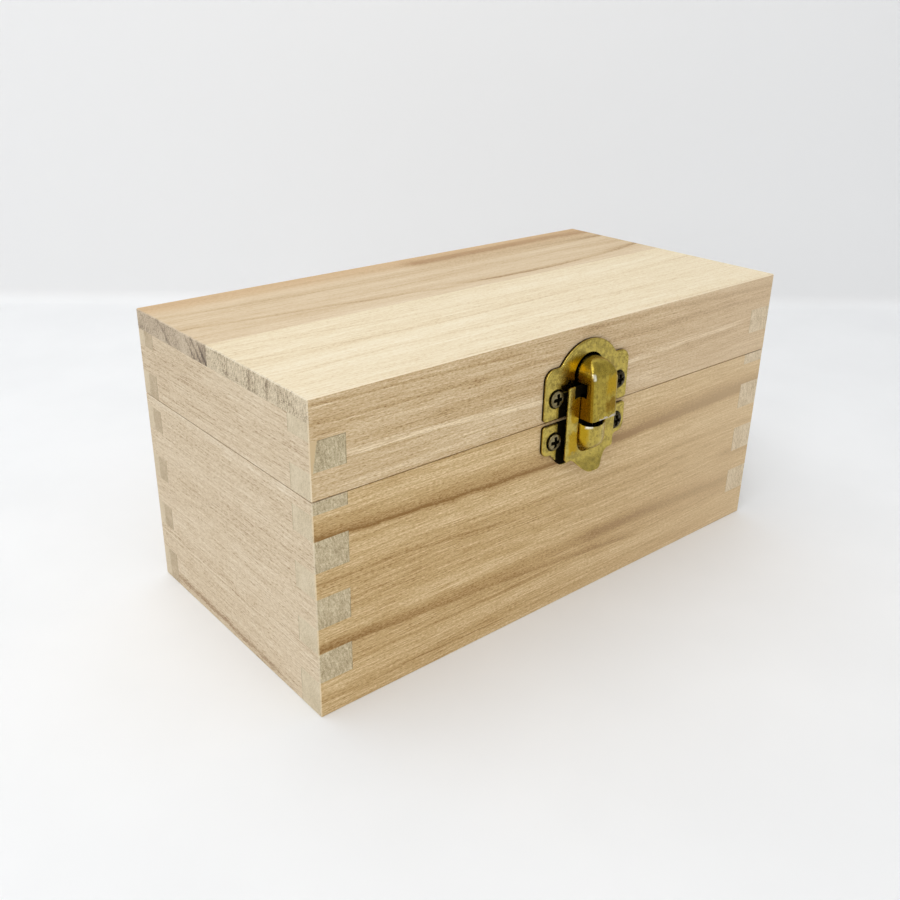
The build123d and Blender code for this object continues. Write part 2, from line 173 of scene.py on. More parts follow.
class ShaderSheet:
    """One material's node tree, filled by expressions on signals."""

    def __init__(self, name: str) -> None:
        """Makes an empty material with its shader and output.

        Args:
            name: The material's name.
        """
        self.material = bpy.data.materials.new(name)
        self.material.use_nodes = True
        self.tree = self.material.node_tree
        self.shader = self.tree.nodes["Principled BSDF"]

    def add(
        self, kind: str, settings: dict[str, object], inputs: dict[int | str, object], out: int = 0
    ) -> Signal:
        """Adds one node.

        Args:
            kind: The node's type.
            settings: Its own settings, set before its sockets. Stops fill a colour ramp.
            inputs: Values or signals for its sockets, by index or name.
            out: The index of the output to return.

        Returns:
            The chosen output.
        """
        node = self.tree.nodes.new(kind)
        for key, value in settings.items():
            if key == "stops":
                self._fill_ramp(node.color_ramp, value)
            else:
                setattr(node, key, value)
        for key, value in inputs.items():
            if isinstance(value, Signal):
                self.tree.links.new(value.socket, node.inputs[key])
            else:
                node.inputs[key].default_value = value
        return Signal(self, node.outputs[out])

    @staticmethod
    def _fill_ramp(ramp: bpy.types.ColorRamp, stops: list[tuple[float, Colour]]) -> None:
        """Writes the stops of a colour ramp.

        Args:
            ramp: The ramp, with its two first stops.
            stops: Places from 0 to 1 with their colours.
        """
        while len(ramp.elements) < len(stops):
            ramp.elements.new(1.0)
        for element, (place, colour) in zip(ramp.elements, stops):
            element.position = place
            element.color = (*colour, 1.0)

    def _parts(self, output: int) -> list[Signal]:
        """The three parts of one output of a Texture Coordinate node."""
        spot = self.add("ShaderNodeTexCoord", {}, {}, out=output)
        return [self.add("ShaderNodeSeparateXYZ", {}, {0: spot}, out=i) for i in range(3)]

    def place(self) -> list[Signal]:
        """The point being shaded, in millimetres of the frame."""
        return [part * 1000.0 for part in self._parts(3)]

    def facing(self) -> list[Signal]:
        """How squarely the surface faces along each axis, either way, from 0 to 1."""
        return [abs(part) for part in self._parts(1)]

    def noise(
        self, x: Signal | float, y: Signal | float, z: Signal | float, detail: float = 2.0, rough: float = 0.5
    ) -> Signal:
        """Smooth noise about 0.

        Args:
            x: First coordinate, already divided by the size of the pattern.
            y: Second coordinate.
            z: Third coordinate.
            detail: How many finer layers are added.
            rough: How strong each finer layer is.

        Returns:
            The noise, mostly within a quarter of 0.
        """
        spot = self.add("ShaderNodeCombineXYZ", {}, {0: x, 1: y, 2: z})
        values = {"Vector": spot, "Scale": 1.0, "Detail": detail, "Roughness": rough}
        return self.add("ShaderNodeTexNoise", {}, values) - 0.5

    def blend(self, share: Signal | float, first: Signal | Colour, second: Signal | Colour) -> Signal:
        """Mixes two colours.

        Args:
            share: 0 for the first, 1 for the second.
            first: A colour.
            second: A colour.

        Returns:
            The mixed colour.
        """
        values = {0: share, 6: self._colour(first), 7: self._colour(second)}
        return self.add("ShaderNodeMix", {"data_type": "RGBA"}, values, out=2)

    @staticmethod
    def _colour(value: Signal | Colour) -> Signal | tuple[float, float, float, float]:
        """A colour with its fourth value, or the signal as it is."""
        return value if isinstance(value, Signal) else (*value, 1.0)

    def shades(self, tone: Signal, colours: tuple[Colour, ...], places: tuple[float, ...]) -> Signal:
        """Turns a tone into a colour between given shades.

        Args:
            tone: The tone, from 0 for the first shade to 1 for the last.
            colours: The shades, from dark to light.
            places: The tone of each shade.

        Returns:
            The colour.
        """
        return self.add("ShaderNodeValToRGB", {"stops": list(zip(places, colours))}, {0: tone})

    def finish(self, fixed: dict[str, float], varying: dict[str, Signal]) -> bpy.types.Material:
        """Sets the shader.

        Args:
            fixed: Plain numbers, set on the shader's own sockets.
            varying: Signals linked to Base Color, Roughness and the like.

        Returns:
            The finished material.
        """
        for key, value in fixed.items():
            self.shader.inputs[key].default_value = value
        for key, signal in varying.items():
            self.tree.links.new(signal.socket, self.shader.inputs[key])
        return self.material

    def bump(self, height: Signal, depth: float) -> Signal:
        """Turns a height from 0 to 1 into a normal.

        Args:
            height: The height.
            depth: What a height of 1 stands for, in mm.

        Returns:
            The bumped normal.
        """
        return self.add("ShaderNodeBump", {}, {"Strength": 1.0, "Distance": depth * MM, "Height": height})


@dataclass(frozen=True)
class Streak:
    """A dark or pale stripe whose course is the parabola through three measured places.

    Args:
        course: Three places as (along, across), in mm of the frame.
        above: How far it fades on the side of rising across, in mm.
        below: How far it fades on the other side, in mm.
        strength: How much darker it is, as a share of the tone, or paler where negative.
        span: Where along the board it starts and ends, in mm.
    """

    course: tuple[tuple[float, float], ...]
    above: float
    below: float
    strength: float
    span: tuple[float, float] = (-200.0, 200.0)

    def depth(self, along: Signal, across: Signal) -> Signal:
        """The stripe's share of darkness: sharpest on its course, fading to either side.

        Args:
            along: Place along the stripe.
            across: Place across it.

        Returns:
            The darkness.
        """
        curve, slope, level = np.polyfit(*np.array(self.course).T, 2).tolist()
        off = across - ((along * curve + slope) * along + level)
        tail = off.fall(0.0, self.above)
        stripe = off.rise(-self.below, 0.0) * tail * tail
        start, end = self.span
        if start > -200.0:
            stripe = stripe * along.rise(start - 8.0, start + 4.0)
        if end < 200.0:
            stripe = stripe * along.fall(end - 4.0, end + 8.0)
        return stripe * self.strength


def level_streak(level: float, above: float, below: float, strength: float) -> Streak:
    """A stripe that runs straight at one level."""
    return Streak(((-90.0, level), (0.0, level), (90.0, level)), above, below, strength)


@dataclass(frozen=True)
class Grain:
    """The look of wood along its fibres.

    A tone is summed from broad bands, fine lines, pores and streaks, and read off four shades.

    Args:
        shades: Colours from the darkest streak to the palest line.
        streaks: The streaks that show.
        seed: Shifts the pattern, so that boards differ.
        tone: The middle tone.
        bands: Strength of the broad bands.
        band_width: Width of the broad bands, in mm.
        lines: Strength of the fine lines.
        dashes: Strength of the short dashes.
        pores: Strength of the pores.
        sway: How far the bands wander across, in mm.
        veil: A paler colour that the wood turns to along the board, where it does.
        tint: A warmer colour that it turns to, and from where to where across the board.
    """

    shades: tuple[Colour, Colour, Colour, Colour]
    streaks: tuple[Streak, ...] = ()
    seed: float = 0.0
    tone: float = 0.55
    bands: float = 0.9
    band_width: float = 7.0
    lines: float = 0.8
    dashes: float = 0.5
    pores: float = 0.75
    sway: float = 5.0
    veil: Colour | None = None
    tint: tuple[Colour, float, float] | None = None

    def colour(
        self, sheet: ShaderSheet, along: Signal, across: Signal, through: Signal, light: Signal
    ) -> Signal:
        """The colour at a place on the board.

        Args:
            sheet: The shader being filled.
            along: Place along the fibres, in mm.
            across: Place across the face, in mm.
            through: Place through the thickness, in mm.
            light: Tone added by wear and pores.

        Returns:
            The colour.
        """
        seed = self.seed
        sway = sheet.noise(along / 80.0 + seed, across / 45.0, through / 45.0, 1.0)
        wander = across + 1.6 * sheet.noise(along / 13.0, across / 9.0 + seed, through / 9.0)
        course = across + self.sway * sway
        broad = sheet.noise(along / 170.0 + seed, course / self.band_width, through / 22.0 + seed, 3.0, 0.6)
        line = sheet.noise(along / 42.0 + seed, course / 0.62, through / 3.0, 3.0, 0.65)
        dash = sheet.noise(along / 9.0, across / 0.36 + seed, through / 0.6, 1.0)
        tone = self.tone + self.bands * broad + self.lines * line + self.dashes * dash + self.pores * light
        streaks = [streak.depth(along, wander) for streak in self.streaks]
        if streaks:
            tone = tone - sum(streaks[1:], streaks[0]) * (1.0 + 2.6 * line + 1.5 * dash)
        colour = sheet.shades(tone, self.shades, (0.0, 0.36, 0.64, 1.0))
        if self.veil:
            colour = sheet.blend(along.rise(-40.0, 90.0) * 0.5, colour, self.veil)
        if self.tint:
            warm, start, end = self.tint
            colour = sheet.blend(wander.rise(start, end) * 0.6, colour, warm)
        return colour


@dataclass(frozen=True)
class EndGrain:
    """The look of a board's sawn end: upright wavy lines and dots, with darker bars and joint lines.

    Args:
        shades: Colours of the dark, middle and pale wood.
        bars: Dark bars, whose course is given as (height, place along the end).
        seam: Distance from the middle at which the joint's dark line runs, in mm.
        tops: Heights at which a joint's dark line runs, in mm.
        seed: Shifts the pattern.
        tone: The middle tone.
        waves: Strength of the upright lines.
        dots: Strength of the dots.
        flank: Distance from the middle from which the end is as pale as the faces, in mm.
        corner: Colour of a slanting strip at its left edge, where the end shows the face's wood.
    """

    shades: tuple[Colour, Colour, Colour]
    bars: tuple[Streak, ...] = ()
    seam: float = 500.0
    tops: tuple[float, ...] = ()
    seed: float = 0.0
    tone: float = 0.5
    waves: float = 1.15
    dots: float = 1.0
    flank: float = 500.0
    corner: Colour | None = None

    def colour(self, sheet: ShaderSheet, flat: Signal, rise: Signal, depth: Signal) -> Signal:
        """The colour at a place on the end.

        Args:
            sheet: The shader being filled.
            flat: Level place along the end, in mm.
            rise: Height, in mm.
            depth: Place along the fibres, in mm.

        Returns:
            The colour.
        """
        slant = flat + 0.22 * rise
        wave = sheet.noise(slant / 0.5 + self.seed, rise / 1.5, depth / 30.0, 2.0, 0.6)
        dot = sheet.noise(flat / 0.3, rise / 0.3 + self.seed, depth / 30.0, 1.0)
        cloud = sheet.noise(flat / 4.5 + self.seed, rise / 6.0, depth / 50.0, 2.0)
        tone = self.tone + self.waves * wave + self.dots * dot + 0.5 * cloud
        bars = [bar.depth(rise, flat + 3.0 * wave) * (1.0 + 2.5 * wave + 2.5 * dot) for bar in self.bars]
        lines = [abs(abs(flat) - self.seam).fall(0.06, 0.38) * (cloud.rise(-0.12, 0.02) * 0.55)]
        lines += [abs(rise - top).fall(0.06, 0.38) * 0.5 for top in self.tops]
        tone = tone - sum(bars + lines[1:], lines[0]) + 0.35 * abs(flat).rise(self.flank, self.flank + 1.5)
        colour = sheet.shades(tone, self.shades, (0.12, 0.5, 0.9))
        if self.corner:
            strip = (flat - 0.17 * (rise - 72.0) + 0.6 * wave).fall(-89.5, -89.1)
            colour = sheet.blend(strip, colour, self.corner)
        return colour


@dataclass(frozen=True)
class Timber:
    """A board's finish: raw, sanded wood on its faces and ends.

    Args:
        name: The material's name.
        grain: The axis that the fibres follow.
        across: The axis across the board's face.
        face: The look of its faces.
        ends: The look of its ends.
        edge: The look of the sides that face along Y, where it differs from the faces.
        shade_patches: Painted shade on its outer face at the front, where the wood lies in deep shade.
        front: How far before the middle that face lies, in mm.
    """

    name: str
    grain: Axis
    across: Axis
    face: Grain
    ends: EndGrain
    edge: Grain | None = None
    shade_patches: tuple["Patch", ...] = ()
    front: float = 45.0

    def material(self) -> bpy.types.Material:
        """Builds the material."""
        sheet = ShaderSheet(self.name)
        spot, facing = sheet.place(), sheet.facing()
        along, across = spot[self.grain.value], spot[self.across.value]
        through = spot[3 - self.grain.value - self.across.value]
        pore = sheet.noise(along / 1.1 + self.face.seed, across / 0.3, through / 0.3, 2.0, 0.7)
        corner = facing[0] * facing[1] + facing[1] * facing[2] + facing[0] * facing[2]
        light = 1.15 * pore - 0.07 * pore.fall(-0.17, -0.09) + 0.5 * corner.rise(0.2, 0.5)
        colour = self.face.colour(sheet, along, across, through, light)
        if self.edge:
            other = self.edge.colour(sheet, along, spot[2], spot[1], light)
            colour = sheet.blend(facing[1].rise(0.6, 0.8), colour, other)
        end = self.ends.colour(sheet, spot[1 - self.grain.value], spot[2], along)
        colour = sheet.blend(facing[self.grain.value].rise(0.6, 0.8), colour, end)
        # Painted shade: darkens the outer face where it lies in deep shade, as behind the catch's nose.
        for shade_patch in self.shade_patches:
            outer = (-1.0 * spot[1]).rise(self.front - 2.0, self.front - 1.0)
            colour = sheet.blend(shade_patch.share(spot[0], spot[2], pore, pore) * outer, colour, shade_patch.colour)
        rough = 0.66 - 0.4 * pore
        varying = {"Base Color": colour, "Roughness": rough, "Normal": sheet.bump(pore, 0.09)}
        return sheet.finish({"Specular IOR Level": 0.22}, varying)


@dataclass(frozen=True)
class Patch:
    """A place where the colour is painted otherwise: painted shade, painted reflection or painted highlight.

    Args:
        colour: Its colour.
        across: From where to where it reaches beside the catch's middle, in mm.
        height: From where to where it reaches up, in mm.
        soft: Over how much it fades, in mm.
        ragged: How broken its outline is, from 0 to 1.
        metal: How metallic it stays.
    """

    colour: Colour
    across: tuple[float, float]
    height: tuple[float, float]
    soft: float = 0.6
    ragged: float = 0.0
    metal: float = 1.0

    def share(self, across: Signal, height: Signal, drift: Signal, ripple: Signal) -> Signal:
        """How much of it shows at a place.

        Args:
            across: Place beside the catch's middle.
            height: Height.
            drift: Noise that shifts its sides.
            ripple: Noise that shifts its top and foot.

        Returns:
            The share from 0 to 1.
        """
        across = across + 9.0 * self.ragged * drift
        height = height + 9.0 * self.ragged * ripple
        beside = across.rise(self.across[0] - self.soft, self.across[0])
        beside = beside * across.fall(self.across[1], self.across[1] + self.soft)
        level = height.rise(self.height[0] - self.soft, self.height[0])
        return beside * level * height.fall(self.height[1], self.height[1] + self.soft)


@dataclass(frozen=True)
class ShadeRing:
    """A thin dark line round a screw's head or the hood's slit: painted shade in the gap between the parts.

    Args:
        beside: How far its middle stands to each side of the catch's middle, in mm.
        height: Height of its middle, in mm.
        radius: Its radius, in mm.
        legs: Whether it runs straight down from its middle, as round the hood.
        width: How far it fades, in mm.
    """

    beside: float
    height: float
    radius: float
    legs: bool = False
    width: float = 0.5

    def share(self, across: Signal, height: Signal) -> Signal:
        """How dark the line is at a place beside the catch's middle and a height."""
        off = abs(across) - self.beside
        up = height - self.height
        if self.legs:
            up = up.larger(0.0)
        return abs((off * off + up * up).root() - self.radius).fall(0.12, self.width)


# Near black: real dirt in the metal's specks, and painted shade in gaps, hollows, screw crosses and under the flap.
GRIME_AND_SHADE: Colour = (0.006, 0.0045, 0.002)


@dataclass(frozen=True)
class Brass:
    """Thin brass plating, worn bright in places and dulled in others.

    Args:
        name: The material's name.
        bright: Colour of the worn bright metal.
        dull: Colour of the tarnished metal.
        share: How much of it is dull, from 0 to 1.
        gloss: Roughness of the worn bright metal.
        matt: Roughness of the dull metal.
        mottle: Size of the mottling, in mm.
        patches: Places of painted shade, painted reflection or painted highlight.
        middle: Where the catch's middle stands, in mm.
        wood: Where the wood's face stands along Y, in mm.
        outline: How far a dark line climbs from the wood, in mm: painted shade where the metal meets the wood, with
            some tarnish.
        rings: Dark lines of painted shade round screws and hood.
    """

    name: str
    bright: Colour
    dull: Colour
    share: float = 0.5
    gloss: float = 0.2
    matt: float = 0.42
    mottle: float = 3.0
    patches: tuple[Patch, ...] = ()
    middle: float = 0.0
    wood: float = 0.0
    outline: float = 0.0
    rings: tuple[ShadeRing, ...] = ()

    def material(self) -> bpy.types.Material:
        """Builds the material: mottling, dirt specks, scratches, patches, and painted shade in rings and along the
        foot.
        """
        sheet = ShaderSheet(self.name)
        x, y, z = sheet.place()
        mottle = sheet.noise(x / self.mottle, y / self.mottle, z / self.mottle, 4.0, 0.62)
        speck = sheet.noise(x / 0.4, y / 0.4, z / 0.4, 2.0, 0.7)
        scratch = sheet.noise(x / 0.16, y / 0.2, z / 3.0, 2.0, 0.6)
        middle = 0.16 - 0.32 * self.share
        worn = mottle.rise(middle - 0.14, middle + 0.14)
        colour = sheet.blend(worn, self.bright, self.dull)
        colour = sheet.blend(speck.rise(0.1, 0.24) * 0.6, colour, GRIME_AND_SHADE)
        rough = self.gloss + (self.matt - self.gloss) * worn + 0.2 * scratch
        metal = 1.0 - 0.3 * speck.rise(0.14, 0.24)
        across = x - self.middle
        ripple = sheet.noise(z / 1.3, x / 1.3, y / 1.3, 2.0) if self.patches else mottle
        for patch in self.patches:
            share = patch.share(across, z, mottle, ripple)
            colour = sheet.blend(share, colour, patch.colour)
            metal = metal - (1.0 - patch.metal) * share
            rough = rough + 0.55 * (1.0 - patch.metal) * share
        # Painted shade: dark rings round the screw heads and the hood's slit.
        for ring in self.rings:
            colour = sheet.blend(ring.share(across, z), colour, GRIME_AND_SHADE)
        # Painted shade, with some tarnish, where the metal meets the wood: darkest right at the wood.
        if self.outline:
            dark = (self.wood - y).fall(0.3 * self.outline, self.outline)
            colour = sheet.blend(dark, colour, GRIME_AND_SHADE)
        height = mottle + 0.4 * speck + 0.25 * scratch
        varying = {"Base Color": colour, "Roughness": rough, "Metallic": metal}
        varying["Normal"] = sheet.bump(height, 0.05)
        return sheet.finish({"Specular IOR Level": 0.0}, varying)


def loose_mesh(
    name: str, points: Points, faces: list[list[int]], marks: Points | None = None
) -> bpy.types.Object:
    """Makes an object from points in metres, merges doubles and turns the faces outwards.

    Args:
        name: The object's name.
        points: Corner points, one row each.
        faces: Corner numbers of each face.
        marks: Number of each face's material, where it has more than one.

    Returns:
        The object, smooth shaded.
    """
    mesh = bpy.data.meshes.new(name)
    mesh.from_pydata(points.tolist(), [], faces)
    if marks is not None:
        mesh.polygons.foreach_set("material_index", marks.astype(np.int32))
    work = bmesh.new()
    work.from_mesh(mesh)
    bmesh.ops.remove_doubles(work, verts=work.verts, dist=1e-7)
    bmesh.ops.dissolve_degenerate(work, edges=work.edges, dist=1e-8)
    bmesh.ops.recalc_face_normals(work, faces=work.faces)
    work.to_mesh(mesh)
    work.free()
    mesh.shade_smooth()
    made = bpy.data.objects.new(name, mesh)
    bpy.context.scene.collection.objects.link(made)
    return made


def wear(piece: bpy.types.Object, *materials: bpy.types.Material) -> None:
    """Gives a piece its materials, in the slots that its faces already point to."""
    slots = piece.data.materials
    while len(slots) < len(materials):
        slots.append(None)
    for place, material in enumerate(materials):
        slots[place] = material


def grid_faces(rows: int, columns: int, start: int = 0, wrap: bool = False) -> Points:
    """Corner numbers of the quads of a grid.

    Args:
        rows: Number of rows of points.
        columns: Number of points in each row.
        start: Number of the first point.
        wrap: Whether each row closes on itself.

    Returns:
        One row of four numbers for each quad, in the order of the grid.
    """
    count = np.arange(rows * columns).reshape(rows, columns) + start
    right = np.roll(count, -1, axis=1)
    if not wrap:
        count, right = count[:, :-1], right[:, :-1]
    quads = np.stack([count[:-1], right[:-1], right[1:], count[1:]], axis=-1)
    return quads.reshape(-1, 4)


@dataclass(frozen=True)
class CatchPlace:
    """Where the catch stands: its middle and the wood's face, in metres, and its heights in mm."""

    middle: float
    wood: float

    def lift(self, flat: Points) -> Points:
        """Turns points of (across, height, stand-off) in mm into points of the frame in metres."""
        across, height, proud = flat[..., 0], flat[..., 1], flat[..., 2]
        return np.stack([self.middle + across * MM, self.wood - proud * MM, height * MM], axis=-1)


def arc(centre: tuple[float, float], radius: float, start: float, end: float, steps: int) -> Points:
    """Points on a circle: centre plus radius times the cosine and sine of an even run of angles.

    Args:
        centre: The circle's centre.
        radius: Its radius.
        start: First angle in degrees, counted from +X towards +Y.
        end: Last angle in degrees.
        steps: Number of points.

    Returns:
        The points, one row each.
    """
    turn = np.radians(np.linspace(start, end, steps))
    return np.stack([centre[0] + radius * np.cos(turn), centre[1] + radius * np.sin(turn)], axis=-1)


def rounded_corner(before: Points, corner: Points, after: Points, radius: float, steps: int = 9) -> Points:
    """A corner between two straight runs replaced by the arc that touches both.

    The arc's ends lie radius times the tangent of half the turn away from the corner, and its
    points are its centre plus the radius carried round from one touching point to the other.

    Args:
        before: A point on the run that comes in.
        corner: The corner.
        after: A point on the run that goes out.
        radius: The arc's radius.
        steps: Number of points.

    Returns:
        The arc's points.
    """
    come = (before - corner) / np.linalg.norm(before - corner)
    go = (after - corner) / np.linalg.norm(after - corner)
    half = np.arccos(np.clip(come @ go, -1.0, 1.0)) / 2
    centre = corner + (come + go) / np.linalg.norm(come + go) * radius / np.sin(half)
    first = corner + come * radius / np.tan(half) - centre
    last = corner + go * radius / np.tan(half) - centre
    swing = math.pi - 2 * half
    share = np.linspace(0.0, 1.0, steps)[:, None]
    return centre + (np.sin((1 - share) * swing) * first + np.sin(share * swing) * last) / np.sin(swing)


def rounded_outline(corners: list[tuple[float, float, float]]) -> Points:
    """A closed outline of straight runs whose corners have their own radii.

    Args:
        corners: Across, height and radius of each corner, in order.

    Returns:
        The outline's points, not repeated at the end.
    """
    spots = np.array([corner[:2] for corner in corners])
    runs = []
    for i, (_, _, radius) in enumerate(corners):
        before, after = spots[i - 1], spots[(i + 1) % len(spots)]
        runs.append(rounded_corner(before, spots[i], after, radius))
    return np.concatenate(runs)


def inward_normals(outline: Points) -> Points:
    """Unit normals of a closed outline that runs clockwise, pointing inwards.

    The tangent at a point is the difference of its two neighbours, and the normal is that
    tangent turned a quarter.

    Args:
        outline: The outline's points.

    Returns:
        One normal for each point.
    """
    tangent = np.roll(outline, -1, axis=0) - np.roll(outline, 1, axis=0)
    normal = np.stack([tangent[:, 1], -tangent[:, 0]], axis=-1)
    return normal / np.linalg.norm(normal, axis=1, keepdims=True)


def pressed_plate(
    name: str, place: CatchPlace, outline: Points, proud: float, edge: float
) -> bpy.types.Object:
    """A flat plate with a rounded rim.

    Rings are the outline moved inwards while they climb: straight up from the wood, then round a
    quarter circle on to the face. The face and the back are one flat face each.

    Args:
        name: The piece's name.
        place: Where the catch stands.
        outline: Clockwise outline in mm.
        proud: How far the face stands off the wood, in mm.
        edge: Radius of the rim, in mm.

    Returns:
        The plate.
    """
    inward = inward_normals(outline)
    turn = np.radians(np.linspace(0.0, 90.0, 7))
    inset = np.concatenate([[0.0], edge * (1 - np.cos(turn)), [1.6 * edge]])
    height = np.concatenate([[0.0], proud - edge + edge * np.sin(turn), [proud]])
    flat = outline[None] + inset[:, None, None] * inward[None]
    rings = np.concatenate([flat, np.broadcast_to(height[:, None, None], flat.shape[:2] + (1,))], axis=-1)
    rows, columns = rings.shape[:2]
    points = place.lift(rings).reshape(-1, 3)
    faces = grid_faces(rows, columns, wrap=True).tolist()
    faces.append(list(range(columns)))
    faces.append(list(range((rows - 1) * columns, rows * columns)))
    made = loose_mesh(name, points, faces)
    made.data.set_sharp_from_angle(angle=math.radians(35))
    return made


@dataclass(frozen=True)
class RaisedForm:
    """A cap drawn out of flat metal: a wall along a path and a crown that closes over it.

    Args:
        half: Half width of the form, in mm.
        foot: Height of its round end's centre, in mm.
        mouth: Height of its open end, in mm.
        base: Stand-off where its wall starts, in mm.
        edge: Radius between wall and crown, in mm.
        flare: How far the wall's foot runs out on to the plate, in mm.
    """

    half: float
    foot: float
    mouth: float
    base: float
    edge: float
    flare: float = 0.0

    def path(self, straight: int = 41, round_steps: int = 49) -> tuple[Points, Points]:
        """The wall's path from one side of the mouth round the far end to the other side.

        Two straight sides lie half a width from the middle, joined by a half circle about
        the foot. The normals point from the wall to the middle.

        Args:
            straight: Points on each straight side.
            round_steps: Points on the half circle.

        Returns:
            The path and its inward normals.
        """
        down = np.linspace(self.mouth, self.foot, straight)
        away = -1.0 if self.foot < self.mouth else 1.0
        turn = np.linspace(math.pi, 0.0, round_steps)[1:-1]
        bend = np.stack([self.half * np.cos(turn), self.foot + away * self.half * np.sin(turn)], axis=-1)
        left = np.stack([np.full(straight, -self.half), down], axis=-1)
        right = np.stack([np.full(straight, self.half), down[::-1]], axis=-1)
        path = np.concatenate([left, bend, right])
        inward = np.concatenate(
            [
                np.tile([1.0, 0.0], (straight, 1)),
                np.stack([-np.cos(turn), -away * np.sin(turn)], axis=-1),
                np.tile([-1.0, 0.0], (straight, 1)),
            ]
        )
        return path, inward

    def surface(self, crown: Callable[[Points, Points], Points], wall: Points) -> Points:
        """The form's grid, one row for each step from the wall's foot to the middle.

        The wall climbs from the base to one edge radius below the crown. The edge is a quarter
        circle. From there the rows close in on the middle at the crown's height. A flare widens
        the wall's foot by an exponential of its height.

        Args:
            crown: The crown's stand-off at a place across and a height.
            wall: Shares of the wall's height at which it has rows.

        Returns:
            Points of (across, height, stand-off) in mm.
        """
        path, inward = self.path()
        top = crown(path[:, 0], path[:, 1]) - self.edge
        rows = []
        for share in wall:
            climb = (top - self.base) * share
            widen = self.flare * np.exp(-climb / max(self.flare, 0.01))
            spot = path - widen[:, None] * inward
            rows.append(np.column_stack([spot, self.base + climb]))
        for turn in np.radians(np.linspace(0.0, 90.0, 8))[1:]:
            spot = path + self.edge * (1 - math.cos(turn)) * inward
            level = crown(spot[:, 0], spot[:, 1]) - self.edge * (1 - math.sin(turn))
            rows.append(np.column_stack([spot, level]))
        for inset in np.linspace(self.edge, self.half, 15)[1:]:
            spot = path + inset * inward
            rows.append(np.column_stack([spot, crown(spot[:, 0], spot[:, 1])]))
        return np.stack(rows)


def add_wall(piece: bpy.types.Object, thickness: float, edge: float) -> None:
    """Gives a shell its thickness inwards and breaks the edges of its rim.

    Args:
        piece: The shell.
        thickness: The sheet's thickness, in mm.
        edge: Width of the broken edges, in mm.
    """
    solid = piece.modifiers.new("sheet", "SOLIDIFY")
    solid.thickness = thickness * MM
    solid.offset = -1.0
    solid.use_even_offset = True
    # The inner faces take the second material, which is painted shade on the hood and nose.
    solid.material_offset = 1
    bevel = piece.modifiers.new("edge", "BEVEL")
    bevel.width = edge * MM
    bevel.segments = 2
    bevel.angle_limit = math.radians(50)
    bevel.harden_normals = True


@dataclass(frozen=True)
class Screw:
    """A cross-recessed screw with a low domed head, all sizes in mm.

    Args:
        head_radius: Radius of the head.
        head_height: Height of the head.
        shank_radius: Radius of the shank.
        length: Length under the head.
        dome: How much the head's rim lies below its middle.
        recess: Half length, half width and depth of the cross.
    """

    head_radius: float
    head_height: float
    shank_radius: float
    length: float
    dome: float = 0.25
    recess: tuple[float, float, float] = (1.45, 0.34, 0.6)

    def surface(self) -> tuple[Points, Points]:
        """The screw as rings about its axis, from the middle of the head to the tip.

        The head falls with the square of the radius and ends in a quarter circle. The cross is
        sunk where the smaller of the two distances from the arms' middle lines is under half
        their width and the larger under half their length, with sloping walls. The shank is
        straight and closes in a short cone.

        Returns:
            The points as (across, height, stand-off), and how deep in the cross each lies.
        """
        turn = np.linspace(0.0, 2 * math.pi, 97)[:-1]
        rim = 0.3 * self.head_height
        inner = self.head_radius - rim
        radius = np.linspace(0.0, inner, 30)
        top = self.head_height - self.dome * (radius / inner) ** 2
        bend = np.radians(np.linspace(0.0, 90.0, 6))[1:]
        rim_radius = inner + rim * np.sin(bend)
        rim_top = self.head_height - self.dome - rim * (1 - np.cos(bend))
        shank = [(self.head_radius, 0.0), (self.shank_radius, 0.0), (self.shank_radius, 0.8 - self.length)]
        shank += [(0.3 * self.shank_radius, -self.length), (0.0, -self.length)]
        reach = np.concatenate([radius, rim_radius, [spot[0] for spot in shank]])
        level = np.concatenate([top, rim_top, [spot[1] for spot in shank]])
        across = reach[:, None] * np.cos(turn)
        height = reach[:, None] * np.sin(turn)
        arm = np.minimum(abs(across), abs(height))
        out = np.maximum(abs(across), abs(height))
        half_length, half_width, sink = self.recess
        deep = np.clip((half_width - arm) / 0.14, 0.0, 1.0) * np.clip((half_length - out) / 0.4, 0.0, 1.0)
        deep[radius.size :] = 0.0
        return np.stack([across, height, level[:, None] - sink * deep], axis=-1), deep

    def row(self, name: str, spots: list[tuple[float, float, float]], out: float) -> bpy.types.Object:
        """Screws of one node, standing out along Y.

        Args:
            name: The piece's name.
            spots: The middle of the underside of each head, in mm.
            out: -1 where the heads look to the front, 1 where they look to the back.

        Returns:
            The screws as one piece, the faces in the cross with the second material.
        """
        grid, deep = self.surface()
        rows, columns = deep.shape
        quads = grid_faces(rows, columns, wrap=True)
        turned = np.stack([grid[..., 0], out * grid[..., 2], grid[..., 1]], axis=-1).reshape(-1, 3)
        points = np.concatenate([turned + np.array(spot) for spot in spots]) * MM
        faces = np.concatenate([quads + i * rows * columns for i in range(len(spots))])
        # Faces in the cross get the second material, painted shade in the recess.
        sunk = np.tile(deep.reshape(-1)[quads].max(axis=1) > 0.3, len(spots))
        return loose_mesh(name, points, faces.tolist(), sunk)


@dataclass
class Boards:
    """The wooden boards of one body: which timber each node gets."""

    timbers: dict[str, Timber]

    def dress(self) -> None:
        """Gives every board its own timber."""
        made = {timber.name: timber.material() for timber in self.timbers.values()}
        for node, timber in self.timbers.items():
            wear(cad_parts[node], made[timber.name])
            report.info("%s is %s", node, timber.name)


SCREW_NODES = ("catch_upper_screws", "catch_lower_screws")


